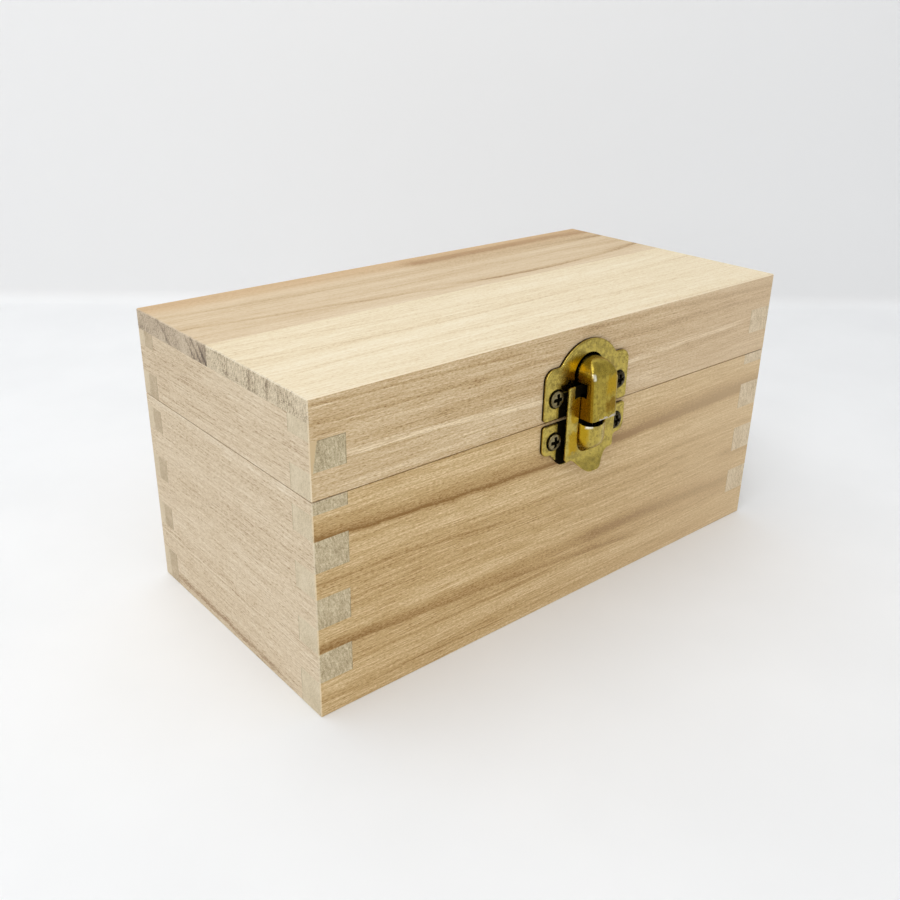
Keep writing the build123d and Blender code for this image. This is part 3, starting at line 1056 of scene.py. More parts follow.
@dataclass
class Catch:
    """The brass hood-and-flap catch on the front, all sizes in mm."""

    width: float = 34.0
    proud: float = 1.1
    sheet: float = 0.5
    rim: float = 0.42
    shoulder: float = 15.1
    arch_rise: float = 6.0
    arch_inset: float = 5.8
    lower_shoulder: float = 9.3
    lobe_drop: float = 4.3
    lobe_inset: float = 3.4
    lobe_slant: float = 4.4
    hood_half: float = 5.2
    hood_top: float = 16.5
    hood_proud: tuple[float, float] = (8.0, 7.1)
    hood_brow: float = 5.4
    notch_proud: float = 5.3
    notch_half: float = 1.95
    hood_edge: float = 1.0
    nose_half: float = 5.1
    nose_drop: float = 9.65
    nose_proud: float = 6.3
    nose_bow: float = 2.1
    nose_heel: float = 3.0
    nose_slope: float = 0.37
    screw: Screw = Screw(2.4, 1.0, 1.1, 7.4, recess=(1.7, 0.52, 0.65))
    place: CatchPlace = field(init=False)

    def __post_init__(self) -> None:
        """Takes the catch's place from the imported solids."""
        upper_low, upper_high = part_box("catch_upper_plate")
        _, lower_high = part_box("catch_lower_plate")
        self.place = CatchPlace((upper_low[0] + upper_high[0]) / 2, upper_high[1])
        self.upper_foot = upper_low[2] / MM
        self.lower_head = lower_high[2] / MM
        hood_low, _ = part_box("catch_hood")
        self.hood_foot = hood_low[2] / MM
        flap_low, flap_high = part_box("catch_flap")
        self.flap_head = flap_high[2] / MM
        self.flap_foot = flap_low[2] / MM

    def upper_plate(self) -> bpy.types.Object:
        """Square shoulders, an arch between them and a slot for the hood, as one outline."""
        half, foot = self.width / 2, self.upper_foot
        shoulder = foot + self.shoulder
        chord = half - self.arch_inset
        radius = (chord**2 + self.arch_rise**2) / (2 * self.arch_rise)
        centre = shoulder + self.arch_rise - radius
        lean = math.degrees(math.asin(chord / radius))
        trim = 2.7
        slot = self.hood_half + 0.13
        head = self.upper_foot + self.hood_top - self.hood_half
        tangent = np.array([math.cos(math.radians(lean)), math.sin(math.radians(lean))])
        notch = np.array([-chord, shoulder])
        left_notch = rounded_corner(notch - [1.0, 0.0], notch, notch + tangent, 1.2)
        right_notch = left_notch[::-1] * [-1.0, 1.0]
        corner = [np.array(spot) for spot in ((-half, foot), (-half, shoulder), (half, shoulder), (half, foot))]
        outline = np.concatenate(
            [
                rounded_corner(np.array([-slot, foot]), corner[0], corner[1], 1.0),
                rounded_corner(corner[0], corner[1], notch, 3.4),
                left_notch,
                arc((0.0, centre), radius, 90 + lean - trim, 90 - lean + trim, 61),
                right_notch,
                rounded_corner(-notch * [1.0, -1.0], corner[2], corner[3], 3.4),
                rounded_corner(corner[2], corner[3], np.array([slot, foot]), 1.0),
                rounded_corner(corner[3], np.array([slot, foot]), np.array([slot, head]), 0.45),
                arc((0.0, head), slot, 0, 180, 41),
                rounded_corner(np.array([-slot, head]), np.array([-slot, foot]), corner[0], 0.45),
            ]
        )
        return pressed_plate("catch_upper_face", self.place, outline, self.proud, self.rim)

    def lower_plate(self) -> bpy.types.Object:
        """Square shoulders over a hanging lobe, open in the middle behind the nose."""
        half, head = self.width / 2, self.lower_head
        shoulder = head - self.lower_shoulder
        root = half - self.lobe_inset
        tip = root - self.lobe_slant
        foot = shoulder - self.lobe_drop
        hollow = self.nose_half - self.sheet
        centre = head - self.nose_drop + self.nose_half
        lobe = rounded_outline(
            [
                (half, head, 1.0),
                (half, shoulder, 2.4),
                (root, shoulder, 1.2),
                (tip, foot, 2.4),
                (-tip, foot, 2.4),
                (-root, shoulder, 1.2),
                (-half, shoulder, 2.4),
                (-half, head, 1.0),
            ]
        )
        bowl = arc((0.0, centre), hollow, 180, 360, 31)
        slot = np.concatenate([[[-hollow, head]], bowl, [[hollow, head]]])
        return pressed_plate(
            "catch_lower_face", self.place, np.concatenate([lobe, slot]), self.proud, self.rim
        )

    def hood(self) -> bpy.types.Object:
        """The cap over the flap's bar: a leaning face under a round brow, notched in its sides."""
        top = self.upper_foot + self.hood_top
        form = RaisedForm(self.hood_half, top - self.hood_half, self.hood_foot, 0.0, self.hood_edge)
        foot_proud, top_proud = self.hood_proud
        lean = (top_proud - foot_proud) / (top - self.hood_foot)
        bend = top + 0.1 - self.hood_brow

        def crown(across: Points, height: Points) -> Points:
            """A straight lean, less what a circle of the brow's radius falls away above its centre."""
            rise = np.clip(height - bend, 0.0, self.hood_brow)
            fall = self.hood_brow - np.sqrt(self.hood_brow**2 - rise**2)
            return foot_proud + lean * (height - self.hood_foot) - fall

        low, high = self.pivot - self.notch_half, self.pivot + self.notch_half
        wall_height = foot_proud + lean * (self.pivot - self.hood_foot) - self.hood_edge
        notch = self.notch_proud / wall_height
        wall = np.concatenate([np.linspace(0.0, 0.1, 3), np.linspace(0.1, notch, 12)[1:], [(1 + notch) / 2, 1.0]])
        grid = form.surface(crown, wall)
        rows, columns = grid.shape[:2]
        quads = grid_faces(rows, columns)
        middle = grid.reshape(-1, 3)[quads].mean(axis=1)
        row = np.repeat(np.arange(rows - 1), columns - 1)
        in_wall = (row >= 2) & (row < 13)
        cut = in_wall & (middle[:, 1] > low) & (middle[:, 1] < high)
        made = loose_mesh("catch_hood_shell", self.place.lift(grid).reshape(-1, 3), quads[~cut].tolist())
        add_wall(made, self.sheet, 0.08)
        return made

    @property
    def pivot(self) -> float:
        """Height of the flap's bar: the flap's head less half its bar."""
        return self.flap_head - 1.4

    def nose(self) -> bpy.types.Object:
        """The nose drawn out of the lower plate: bowed from side to side, with a round heel and a
        mouth whose lip slopes down to the front."""
        foot = self.lower_head - self.nose_drop
        base = self.proud - 0.1
        form = RaisedForm(self.nose_half, foot + self.nose_half, self.lower_head, base, 0.9, 0.5)
        radius = (self.nose_half**2 + self.nose_bow**2) / (2 * self.nose_bow)

        def crown(across: Points, height: Points) -> Points:
            """A circle across, less what the heel's circle falls away near the foot."""
            bow = radius - np.sqrt(radius**2 - np.clip(across, -self.nose_half, self.nose_half) ** 2)
            drop = np.clip(foot + self.nose_heel - height, 0.0, self.nose_heel)
            heel = self.nose_heel - np.sqrt(self.nose_heel**2 - drop**2)
            return self.nose_proud - bow - heel

        grid = form.surface(crown, np.linspace(0.0, 1.0, 12))
        straight = np.clip((grid[..., 1] - form.foot) / (self.lower_head - form.foot), 0.0, 1.0)
        grid[..., 1] -= straight * self.nose_slope * np.clip(grid[..., 2] - self.proud, 0.0, None)
        rows, columns = grid.shape[:2]
        points = self.place.lift(grid).reshape(-1, 3)
        made = loose_mesh("catch_nose_shell", points, grid_faces(rows, columns).tolist())
        add_wall(made, self.sheet, 0.1)
        return made

    def flap(self) -> bpy.types.Object:
        """The framed plate that straddles hood and nose, its lower end curled outwards.

        Window and outline are both seen from one point inside the window, so a direction and a
        share from one to the other give every place on the frame. The section there is a flat
        bar with round edges. Below the bend the front and back follow two circles about one line.
        """
        head, foot = self.flap_head, self.flap_foot
        shoulder = foot + 4.5
        outer = rounded_outline(
            [
                (10.0, head, 1.0),
                (10.0, shoulder, 1.0),
                (7.2, shoulder, 3.6),
                (2.6, foot, 3.9),
                (-2.6, foot, 3.9),
                (-7.2, shoulder, 3.6),
                (-10.0, shoulder, 1.0),
                (-10.0, head, 1.0),
            ]
        )
        sill = self.lower_head - self.nose_drop - 0.35
        lintel = head - 2.8
        window = rounded_outline(
            [(5.35, lintel, 0.3), (5.35, sill, 3.4), (-5.35, sill, 3.4), (-5.35, lintel, 0.3)]
        )
        eye = np.array([0.0, (lintel + sill) / 2])
        inner_turn, inner_reach = self._polar(window - eye)
        outer_turn, outer_reach = self._polar(outer - eye)
        marks = [self._turns(window - eye), self._turns(outer - eye)]
        even = np.linspace(-math.pi, math.pi, 121)[:-1]
        turn = np.unique(np.round(np.concatenate([*marks, even]), 4))
        start = np.interp(turn, inner_turn, inner_reach, period=2 * math.pi)
        stop = np.interp(turn, outer_turn, outer_reach, period=2 * math.pi)
        half, edge = 0.4, 0.28
        round_turn = np.radians(np.linspace(0.0, 90.0, 5))
        inset = edge * (1 - np.cos(round_turn))
        level = half - edge + edge * np.sin(round_turn)
        share = np.linspace(0.0, 1.0, 15)[1:-1]
        near = start[None] + inset[:, None]
        far = stop[None] - inset[::-1, None]
        between = near[-1] + share[:, None] * (far[0] - near[-1])
        reach = np.concatenate([near, between, far])
        front = np.concatenate([level, np.full(share.size, half), level[::-1]])
        reach = np.concatenate([reach, reach[::-1]])
        level = np.concatenate([front, -front[::-1]])
        across = eye[0] + reach * np.cos(turn)
        height = eye[1] + reach * np.sin(turn)
        bend = self.pivot - 19.7
        below = np.clip(bend - height, 0.0, 7.0)
        circle = 7.7 + (half - level[:, None])
        curl = circle - np.sqrt(circle**2 - below**2)
        proud = 3.0 + level[:, None] + curl
        grid = np.stack([across, height, proud], axis=-1)
        rows, columns = grid.shape[:2]
        closed = np.concatenate([grid, grid[:1]])
        points = self.place.lift(closed).reshape(-1, 3)
        return loose_mesh("catch_flap_frame", points, grid_faces(rows + 1, columns, wrap=True).tolist())

    @staticmethod
    def _turns(outline: Points) -> Points:
        """Directions of an outline's points from the origin."""
        return np.arctan2(outline[:, 1], outline[:, 0])

    @staticmethod
    def _polar(outline: Points) -> tuple[Points, Points]:
        """Directions and distances of an outline from the origin, by direction.

        Each run between two points is first divided evenly, so that straight runs stay straight.

        Args:
            outline: The outline's points about the origin.

        Returns:
            The directions in rising order and the distances.
        """
        share = np.linspace(0.0, 1.0, 40, endpoint=False)[None, :, None]
        runs = outline[:, None] + share * (np.roll(outline, -1, axis=0) - outline)[:, None]
        spots = runs.reshape(-1, 2)
        turn = np.arctan2(spots[:, 1], spots[:, 0])
        order = np.argsort(turn)
        return turn[order], np.linalg.norm(spots, axis=1)[order]

    def patches(self) -> dict[str, tuple[Patch, ...]]:
        """Where the plates, the hood, the flap and the nose carry painted shade, painted golden reflections or
        painted highlights.
        """
        # The golden colours are painted reflections of darker surroundings; the pale one is a painted highlight.
        reflected_gold, dark_reflected_gold, glint_pale = (0.46, 0.29, 0.015), (0.26, 0.15, 0.01), (0.62, 0.56, 0.46)
        pivot, notch = self.pivot, self.notch_half
        lip, glint_white = self.lower_head, (0.98, 0.93, 0.74)
        # Painted shade: near black, not metal, in the gap under the flap's left edge on both plates.
        shade_under_flap = Patch(GRIME_AND_SHADE, (-11.4, -7.4), (lip - 13.0, pivot - 0.6), 0.5, 0.03, metal=0.0)
        # Painted golden reflections on the upper plate beside and above the hood.
        reflection_left_of_hood = Patch(dark_reflected_gold, (-8.4, -4.0), (pivot, pivot + 4.6), 1.8, 0.35)
        reflection_above_hood = Patch((0.72, 0.48, 0.02), (-7.4, -4.6), (pivot + 5.8, pivot + 7.6), 1.3, 0.3)
        # Painted shade on the flap's bar, where it lies in the hood's notch.
        bar = Patch(GRIME_AND_SHADE, (-7.6, 7.6), (pivot - notch, pivot + notch), 0.4, 0.1, metal=0.0)
        # Painted golden reflections on the flap's arm and on the hood's front.
        tongue_reflection = Patch(reflected_gold, (-8.0, -4.0), (pivot - 9.0, pivot - notch), 1.2, 0.3)
        lower_tongue_reflection = Patch(reflected_gold, (-8.4, -5.8), (pivot - 18.0, pivot - 13.0), 1.4, 0.35)
        hood_front_reflection = Patch(reflected_gold, (1.6, 6.0), (pivot - 0.6, pivot + 2.6), 1.9, 0.35)
        lower_front_reflection = Patch(dark_reflected_gold, (1.4, 3.6), (pivot - 5.6, pivot - 4.2), 2.0, 0.45)
        # Painted highlight: a pale glint along the front of the hood's foot.
        hood_foot_glint = Patch(glint_pale, (-1.8, 5.3), (self.hood_foot - 1.0, self.hood_foot + 0.3), 0.4, 0.3, metal=0.5)
        # Painted dark golden reflection down the hood's left wall.
        flank = Patch(dark_reflected_gold, (-5.4, -4.9), (pivot - 9.0, pivot + 4.0), 0.3, 0.02)
        # Painted highlights: near-white glints on the hood's upper left corner and on the nose's lip.
        spark = Patch(glint_white, (-4.45, -4.25), (pivot + 3.8, pivot + 4.9), 0.6)
        nose_lip_glint = Patch(glint_white, (-3.9, -2.4), (lip - 1.9, lip - 1.5), 0.55, 0.05)
        # Painted golden reflection on the nose's left side.
        nose_flank_reflection = Patch(reflected_gold, (-5.2, -4.2), (lip - 12.0, lip), 1.4, 0.3)
        return {
            "upper": (reflection_left_of_hood, reflection_above_hood, shade_under_flap),
            "lower": (shade_under_flap,),
            "hood": (hood_front_reflection, lower_front_reflection, flank, spark, hood_foot_glint),
            "flap": (tongue_reflection, lower_tongue_reflection, bar),
            "nose": (nose_flank_reflection, nose_lip_glint),
        }

    def metal(self, name: str, outline: float, rings: tuple[ShadeRing, ...] = ()) -> bpy.types.Material:
        """The brass of one pressed piece.

        Args:
            name: Which piece.
            outline: How far its dark line of painted shade and tarnish climbs from the wood, in mm.
            rings: The lines of painted shade on it.

        Returns:
            The material.
        """
        bright, dull = (0.56, 0.43, 0.095), (0.36, 0.275, 0.065)
        # Painted reflection: the hood gets a darker, more golden copy of the same brass.
        if name == "hood":
            bright, dull = (0.47, 0.35, 0.055), (0.32, 0.235, 0.035)
        brass = Brass(
            f"catch_brass_{name}",
            bright,
            dull,
            share=0.45,
            gloss=0.14,
            matt=0.34,
            mottle=1.7,
            patches=self.patches()[name],
            middle=self.place.middle / MM,
            wood=self.place.wood / MM,
            outline=outline,
            rings=rings,
        )
        return brass.material()

    def dress(self, pieces: dict[str, bpy.types.Object]) -> None:
        """Gives the pressed pieces their brass and the screws their dull metal.

        Args:
            pieces: The pieces by name.
        """
        head = self.upper_foot + self.hood_top - self.hood_half
        # Painted shade in the slit round the hood and round the screw heads.
        slit_shadow = ShadeRing(0.0, head, self.hood_half + 0.13, legs=True, width=0.62)
        radius = self.screw.head_radius + 0.15
        upper, lower = (ShadeRing(spread, height, radius) for spread, height in map(self.screw_spot, SCREW_NODES))
        # Painted shade: near-black metal on the inner walls of the hood and the nose.
        inside = Brass("catch_inside_shade", (0.016, 0.011, 0.004), GRIME_AND_SHADE, matt=0.7, gloss=0.6).material()
        wear(pieces["upper"], self.metal("upper", 0.9, (slit_shadow, upper)))
        wear(pieces["lower"], self.metal("lower", 0.9, (lower,)))
        wear(pieces["hood"], self.metal("hood", 1.5), inside)
        wear(pieces["nose"], self.metal("nose", 0.0), inside)
        wear(pieces["flap"], self.metal("flap", 0.0))
        shade = Patch((0.05, 0.038, 0.016), (9.0, 20.0), (0.0, 90.0))
        head = Brass(
            "catch_screw_metal",
            (0.30, 0.25, 0.13),
            (0.15, 0.12, 0.06),
            share=0.45,
            gloss=0.25,
            matt=0.45,
            mottle=2.0,
            patches=(shade,),
            middle=self.place.middle / MM,
        )
        # Painted shade: near-black metal in the screws' cross recesses.
        sunk = Brass("catch_screw_cross_shade", (0.008, 0.006, 0.003), GRIME_AND_SHADE, gloss=0.5, matt=0.7)
        metals = (head.material(), sunk.material())
        for node in SCREW_NODES:
            wear(pieces[node], *metals)

    def screw_spot(self, node: str) -> tuple[float, float]:
        """How far a plate's screws stand to each side of the catch's middle, and their height, in mm."""
        low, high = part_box(node)
        return (high[0] - low[0]) / 2 / MM - self.screw.head_radius, (low[2] + high[2]) / 2 / MM

    def screws(self, node: str) -> bpy.types.Object:
        """The two screws of one plate, their heads on its face."""
        spread, height = self.screw_spot(node)
        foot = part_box(node)[0][1] / MM + self.screw.head_height
        middle = self.place.middle / MM
        spots = [(middle - spread, foot, height), (middle + spread, foot, height)]
        return self.screw.row(f"{node}_crossed", spots, -1.0)

    def build(self) -> dict[str, bpy.types.Object]:
        """Makes and places every piece of the catch.

        Returns:
            The pieces by name.
        """
        made = {
            "upper": (self.upper_plate(), "catch_upper_plate", "lid"),
            "hood": (self.hood(), "catch_hood", "lid"),
            "lower": (self.lower_plate(), "catch_lower_plate", "box"),
            "nose": (self.nose(), "", "box"),
            "flap": (self.flap(), "catch_flap", "flap"),
            SCREW_NODES[0]: (self.screws(SCREW_NODES[0]), SCREW_NODES[0], "lid"),
            SCREW_NODES[1]: (self.screws(SCREW_NODES[1]), SCREW_NODES[1], "box"),
        }
        for name, (piece, node, body) in made.items():
            "screw_brass" if "screws" in name else "catch_brass"
            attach(piece, body)
            if node:
                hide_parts(node)
        return {name: piece for name, (piece, _, _) in made.items()}


@dataclass
class Hinges:
    """The two small butt hinges on the back and their screws, sizes in mm."""

    screw: Screw = Screw(1.9, 0.45, 0.9, 7.0, 0.12, (1.2, 0.28, 0.35))
    spacing: float = 15.0

    def screws(self, node: str, body: str) -> bpy.types.Object:
        """The four screws of one row of leaves, their heads to the back.

        Args:
            node: The solid that they stand for.
            body: The body that they ride on.

        Returns:
            The screws.
        """
        low, high = (np.array(corner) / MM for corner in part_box(node))
        first, last = low[0] + self.screw.head_radius, high[0] - self.screw.head_radius
        height, foot = (low[2] + high[2]) / 2, high[1] - self.screw.head_height
        places = (first, first + self.spacing, last - self.spacing, last)
        made = self.screw.row(f"{node}_crossed", [(place, foot, height) for place in places], 1.0)
        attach(made, body)
        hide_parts(node)
        return made

    def build(self) -> list[bpy.types.Object]:
        """Makes the screws."""
        return [self.screws("hinge_box_screws", "box"), self.screws("hinge_lid_screws", "lid")]

    def dress(self, screws: list[bpy.types.Object]) -> None:
        """Gives leaves, pins and screws their metal.

        Args:
            screws: The screws that were made.
        """
        leaf = Brass("hinge_brass_plating", (0.62, 0.47, 0.15), (0.46, 0.37, 0.14), share=0.4).material()
        pin = Brass("hinge_pin_metal", (0.52, 0.43, 0.22), (0.36, 0.30, 0.16), mottle=1.0).material()
        head = Brass("hinge_screw_metal", (0.50, 0.40, 0.16), (0.32, 0.26, 0.12), mottle=1.2).material()
        # Painted shade: dark metal in the screws' cross recesses.
        sunk = Brass("hinge_screw_cross_shade", (0.05, 0.04, 0.02), GRIME_AND_SHADE, gloss=0.5, matt=0.7).material()
        for name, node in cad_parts.items():
            if name.endswith("leaf"):
                wear(node, leaf)
            elif name.endswith("pin"):
                wear(node, pin)
        for row in screws:
            wear(row, head, sunk)


FRONT, END, TOP = Daylight.FRONT, Daylight.END, Daylight.TOP


@dataclass
class BoxBody:
    """The lower body: four finger-jointed walls and the bottom, places in mm."""

    end_seam: float = 80.4
    long_seam: float = 36.0
    glue_line: float = 16.8

    def front(self) -> Grain:
        """Golden-tan wood with a long brown streak under the split and a golden one below."""
        return Grain(
            (seen(134, 100, 55, FRONT), seen(173, 142, 95, FRONT), seen(191, 164, 119, FRONT), seen(217, 194, 155, FRONT)),
            (
                Streak(((-90, 51.9), (-9, 48.6), (78, 49.7)), 1.9, 0.4, 0.36, (-200.0, 24.0)),
                Streak(((-90, 51.9), (-9, 48.6), (78, 49.7)), 9.5, 1.6, 0.38),
                Streak(((20, 49.0), (48, 49.9), (86, 50.6)), 6.0, 3.4, 0.32, (12.0, 200.0)),
                Streak(((15, 17.6), (50, 17.4), (86, 13.6)), 10.0, 6.0, 0.24, (8.0, 200.0)),
                Streak(((15, 37.6), (50, 37.6), (86, 37.0)), 1.6, 1.4, 0.17, (12.0, 200.0)),
                Streak(((60, 27.0), (75, 27.0), (90, 27.0)), 5.0, 4.0, 0.26, (74.0, 200.0)),
                Streak(((-90, 39.3), (-67, 38.8), (-50, 37.8)), 1.1, 0.4, 0.22, (-200.0, -34.0)),
                Streak(((-91, 20.8), (-7, 19.6), (86, 16.8)), 3.2, 3.4, 0.24),
                Streak(((-91, 19.9), (-40, 17.1), (-4, 14.3)), 3.6, 0.5, 0.27, (-200.0, 30.0)),
                Streak(((-80, 13.0), (-50, 12.9), (-20, 12.8)), 1.2, 0.9, 0.28, (-86.0, -12.0)),
                Streak(((-62, 4.3), (-47, 4.1), (-25, 3.0)), 0.5, 0.3, 0.35, (-62.0, -26.0)),
            ),
            seed=7.4,
            tone=0.6,
            lines=0.95,
            dashes=0.9,
            pores=1.15,
            veil=seen(208, 185, 152, FRONT),
        )

    def end(self) -> Grain:
        """Pale pinkish-cream wood with a light glue line and a grey foot."""
        line = self.glue_line
        return Grain(
            (seen(158, 130, 102), seen(203, 183, 153), seen(216, 198, 170), seen(231, 217, 194)),
            (
                level_streak(line, 0.4, 0.35, -0.30),
                level_streak(line - 1.5, 0.4, 0.35, -0.26),
                level_streak(line - 0.6, 0.3, 0.3, 0.16),
                Streak(((44, 3.0), (10, 2.8), (-22, 2.2)), 2.4, 1.6, 0.34, (-24.0, 200.0)),
            ),
            seed=1.7,
            bands=0.5,
            lines=0.75,
            dashes=0.8,
            pores=1.25,
        )

    def fingers(self) -> EndGrain:
        """The end panels' fingers: grey-green, with upright wavy lines."""
        return EndGrain(
            (seen(149, 132, 102, FRONT), seen(182, 167, 136, FRONT), seen(207, 195, 166, FRONT)), seam=self.end_seam
        )

    def pale_fingers(self) -> EndGrain:
        """The right end panels' fingers, hardly darker than the faces."""
        return EndGrain(
            (seen(176, 157, 126, FRONT), seen(200, 182, 153, FRONT), seen(217, 202, 177, FRONT)),
            seam=self.end_seam,
            seed=5.0,
        )

    def front_fingers(self) -> EndGrain:
        """The front panel's fingers on the end: pale, with little contrast."""
        return EndGrain(
            (seen(180, 164, 134), seen(210, 195, 166), seen(228, 216, 192)), seam=self.long_seam, waves=0.7, dots=0.8
        )

    def back_fingers(self) -> EndGrain:
        """The back panel's fingers on the end: grey-brown, pale towards the corner."""
        return EndGrain(
            (seen(160, 141, 113), seen(190, 171, 142), seen(216, 200, 172)),
            seam=self.long_seam,
            seed=2.0,
            waves=0.8,
            flank=40.5,
        )

    def dress(self) -> None:
        """Gives the walls and the bottom their timber."""
        ends = Timber("box_end_timber", Axis.Y, Axis.Z, self.end(), self.fingers())
        right = replace(ends, name="box_right_end_timber", ends=self.pale_fingers())
        back = Grain(
            (seen(124, 88, 48, FRONT), seen(176, 146, 100, FRONT), seen(193, 167, 123, FRONT), seen(215, 192, 154, FRONT)),
            (
                Streak(((-90, 40), (0, 43), (90, 41)), 4.0, 0.6, 0.34),
                Streak(((-90, 18), (0, 15), (90, 19)), 1.2, 2.4, 0.26),
            ),
            seed=11.3,
        )
        floor = Grain(
            (seen(150, 118, 80), seen(203, 178, 142), seen(217, 196, 163), seen(232, 216, 188)),
            (Streak(((-80, 8), (0, 12), (80, 5)), 3.0, 0.6, 0.25),),
            seed=4.4,
        )
        # Painted shade: the wood seen through the nose's mouth, made near black.
        shade_behind_nose = Patch(GRIME_AND_SHADE, (-2.8, 5.6), (53.6, 62.2), 0.4)
        boards = {
            "box_front_panel": Timber(
                "box_front_timber", Axis.X, Axis.Z, self.front(), self.front_fingers(), shade_patches=(shade_behind_nose,)
            ),
            "box_back_panel": Timber("box_back_timber", Axis.X, Axis.Z, back, self.back_fingers()),
            "box_left_panel_upper_strip": ends,
            "box_left_panel_lower_strip": ends,
            "box_right_panel": right,
            "box_bottom_panel": Timber("box_floor_timber", Axis.X, Axis.Y, floor, self.fingers()),
        }
        Boards(boards).dress()


@dataclass
class Lid:
    """The lid: its finger-jointed rim and the two boards of its top, places in mm."""

    body: BoxBody
    finger_top: float = 77.5

    def front(self) -> Grain:
        """Tan wood with a cream streak, brown lines towards the top edge."""
        return Grain(
            (seen(138, 104, 64, FRONT), seen(184, 157, 116, FRONT), seen(201, 179, 144, FRONT), seen(227, 209, 178, FRONT)),
            (
                Streak(((-80, 72.2), (-61, 71.6), (-19, 69.5)), 1.8, 1.3, -0.30, (-200.0, 30.0)),
                Streak(((-90, 86.4), (-60, 85.5), (-30, 84.9)), 1.2, 0.4, 0.30, (-200.0, -24.0)),
                Streak(((-90, 81.5), (-60, 80.9), (-30, 80.6)), 1.4, 0.5, 0.20, (-200.0, -10.0)),
                Streak(((10, 86.0), (50, 85.4), (90, 84.6)), 2.6, 1.0, 0.28, (0.0, 200.0)),
                Streak(((10, 81.0), (50, 81.4), (90, 81.0)), 1.6, 1.6, 0.15, (6.0, 200.0)),
                Streak(((10, 72.6), (50, 73.7), (78, 74.2)), 2.8, 1.2, -0.36, (14.0, 72.0)),
                Streak(((-90, 65.6), (0, 66.4), (90, 65.0)), 0.8, 0.5, 0.12),
            ),
            seed=3.1,
            tone=0.5,
            dashes=0.7,
            pores=1.05,
            veil=seen(208, 186, 158, FRONT),
        )

    def top_front(self) -> Grain:
        """The cream front board of the top, with faint lines."""
        return Grain(
            (seen(184, 153, 112, TOP), seen(226, 207, 172, TOP), seen(237, 223, 193, TOP), seen(246, 237, 215, TOP)),
            (
                Streak(((-89, -13.7), (-65, -16.6), (-16, -19.0)), 1.4, 0.6, 0.17, (-200.0, 20.0)),
                Streak(((-86, -30.0), (-58, -27.6), (-25, -29.0)), 1.4, 0.7, 0.16, (-200.0, 10.0)),
                Streak(((-40, -8.0), (20, -10.0), (80, -6.0)), 1.6, 0.6, 0.14),
            ),
            seed=5.2,
            bands=0.7,
            lines=0.6,
            pores=0.75,
        )

    def top_back(self) -> Grain:
        """The tan back board of the top, with a flame-like streak behind the joint."""
        return Grain(
            (seen(150, 114, 74, TOP), seen(205, 180, 143, TOP), seen(219, 198, 166, TOP), seen(234, 218, 191, TOP)),
            (
                Streak(((-5, 9.6), (30, 6.9), (75, 10.0)), 5.0, 1.2, 0.30, (0.0, 200.0)),
                Streak(((-5, 9.6), (30, 6.9), (75, 10.0)), 1.6, 0.6, 0.10, (6.0, 58.0)),
                Streak(((10, 38.0), (50, 37.0), (90, 38.0)), 12.0, 11.0, 0.30, (4.0, 200.0)),
                Streak(((-89, 17.5), (-52, 13.2), (-15, 8.8)), 3.0, 0.8, 0.22, (-200.0, -4.0)),
                Streak(((-90, 44.0), (0, 43.5), (90, 44.0)), 2.0, 10.0, 0.24),
                Streak(((-90, 31.0), (0, 27.0), (90, 30.0)), 3.5, 1.0, 0.14),
                level_streak(3.0, 7.0, 3.0, -0.17),
            ),
            seed=8.8,
            tone=0.52,
            lines=0.6,
            dashes=0.3,
            pores=0.5,
            tint=(seen(214, 180, 138, TOP), 30.0, 44.0),
        )

    def top_ends(self) -> tuple[EndGrain, EndGrain]:
        """The sawn ends of the front and the back board, with upright and slanting dark bars."""
        uprights = ((-8.0, 0.8, 0.14), (-18.9, 1.1, 0.22), (-22.0, 0.8, 0.18), (-27.4, 1.2, 0.22), (-32.6, 0.8, 0.14))
        front = tuple(Streak(((82, y + 0.3), (85, y), (88, y - 0.3)), w, w, s) for y, w, s in uprights)
        slants = ((3.0, 8.0, 1.6, 0.26), (6.0, 11.5, 1.4, 0.28), (9.5, 15.0, 1.0, 0.24), (24.0, 31.0, 2.0, 0.2))
        back = tuple(Streak(((82, a), (85, (a + b) / 2), (88, b)), w, w, s) for a, b, w, s in slants)
        patch = Streak(((82, 2.0), (85, 2.0), (88, 2.0)), 10.0, 0.3, 0.16)
        return (
            EndGrain((seen(122, 104, 84), seen(206, 190, 161), seen(231, 218, 193)), front, seed=6.0),
            EndGrain((seen(104, 89, 76), seen(190, 172, 147), seen(217, 203, 180)), (patch, *back), waves=0.9, seed=9.0),
        )

    def fingers(self) -> EndGrain:
        """The lid's end panels' finger, with the joint's dark line on its top and its side."""
        return EndGrain(
            (seen(146, 130, 100, FRONT), seen(180, 166, 135, FRONT), seen(206, 194, 165, FRONT)),
            seam=self.body.end_seam,
            tops=(self.finger_top,),
            seed=1.0,
            corner=seen(197, 174, 135, FRONT),
        )

    def dress(self) -> None:
        """Gives the rim and the top their timber."""
        front, end = self.front(), self.body.end()
        front_end, back_end = self.top_ends()
        ends = Timber(
            "lid_end_timber", Axis.Y, Axis.Z, replace(end, streaks=(), tone=0.48, seed=2.9, lines=0.9, pores=1.05), self.fingers()
        )
        back = replace(front, streaks=(Streak(((-90, 74), (0, 72), (90, 75)), 2.5, 0.5, 0.3),), seed=12.6)
        boards = {
            "lid_front_panel": Timber("lid_front_timber", Axis.X, Axis.Z, front, self.body.front_fingers()),
            "lid_back_panel": Timber("lid_back_timber", Axis.X, Axis.Z, back, self.body.back_fingers()),
            "lid_left_panel": ends,
            "lid_right_panel": replace(ends, name="lid_right_end_timber", ends=self.body.pale_fingers()),
            "lid_top_front_board": Timber("lid_top_front_timber", Axis.X, Axis.Y, self.top_front(), front_end, front),
            "lid_top_back_board": Timber("lid_top_back_timber", Axis.X, Axis.Y, self.top_back(), back_end, back),
        }
        Boards(boards).dress()


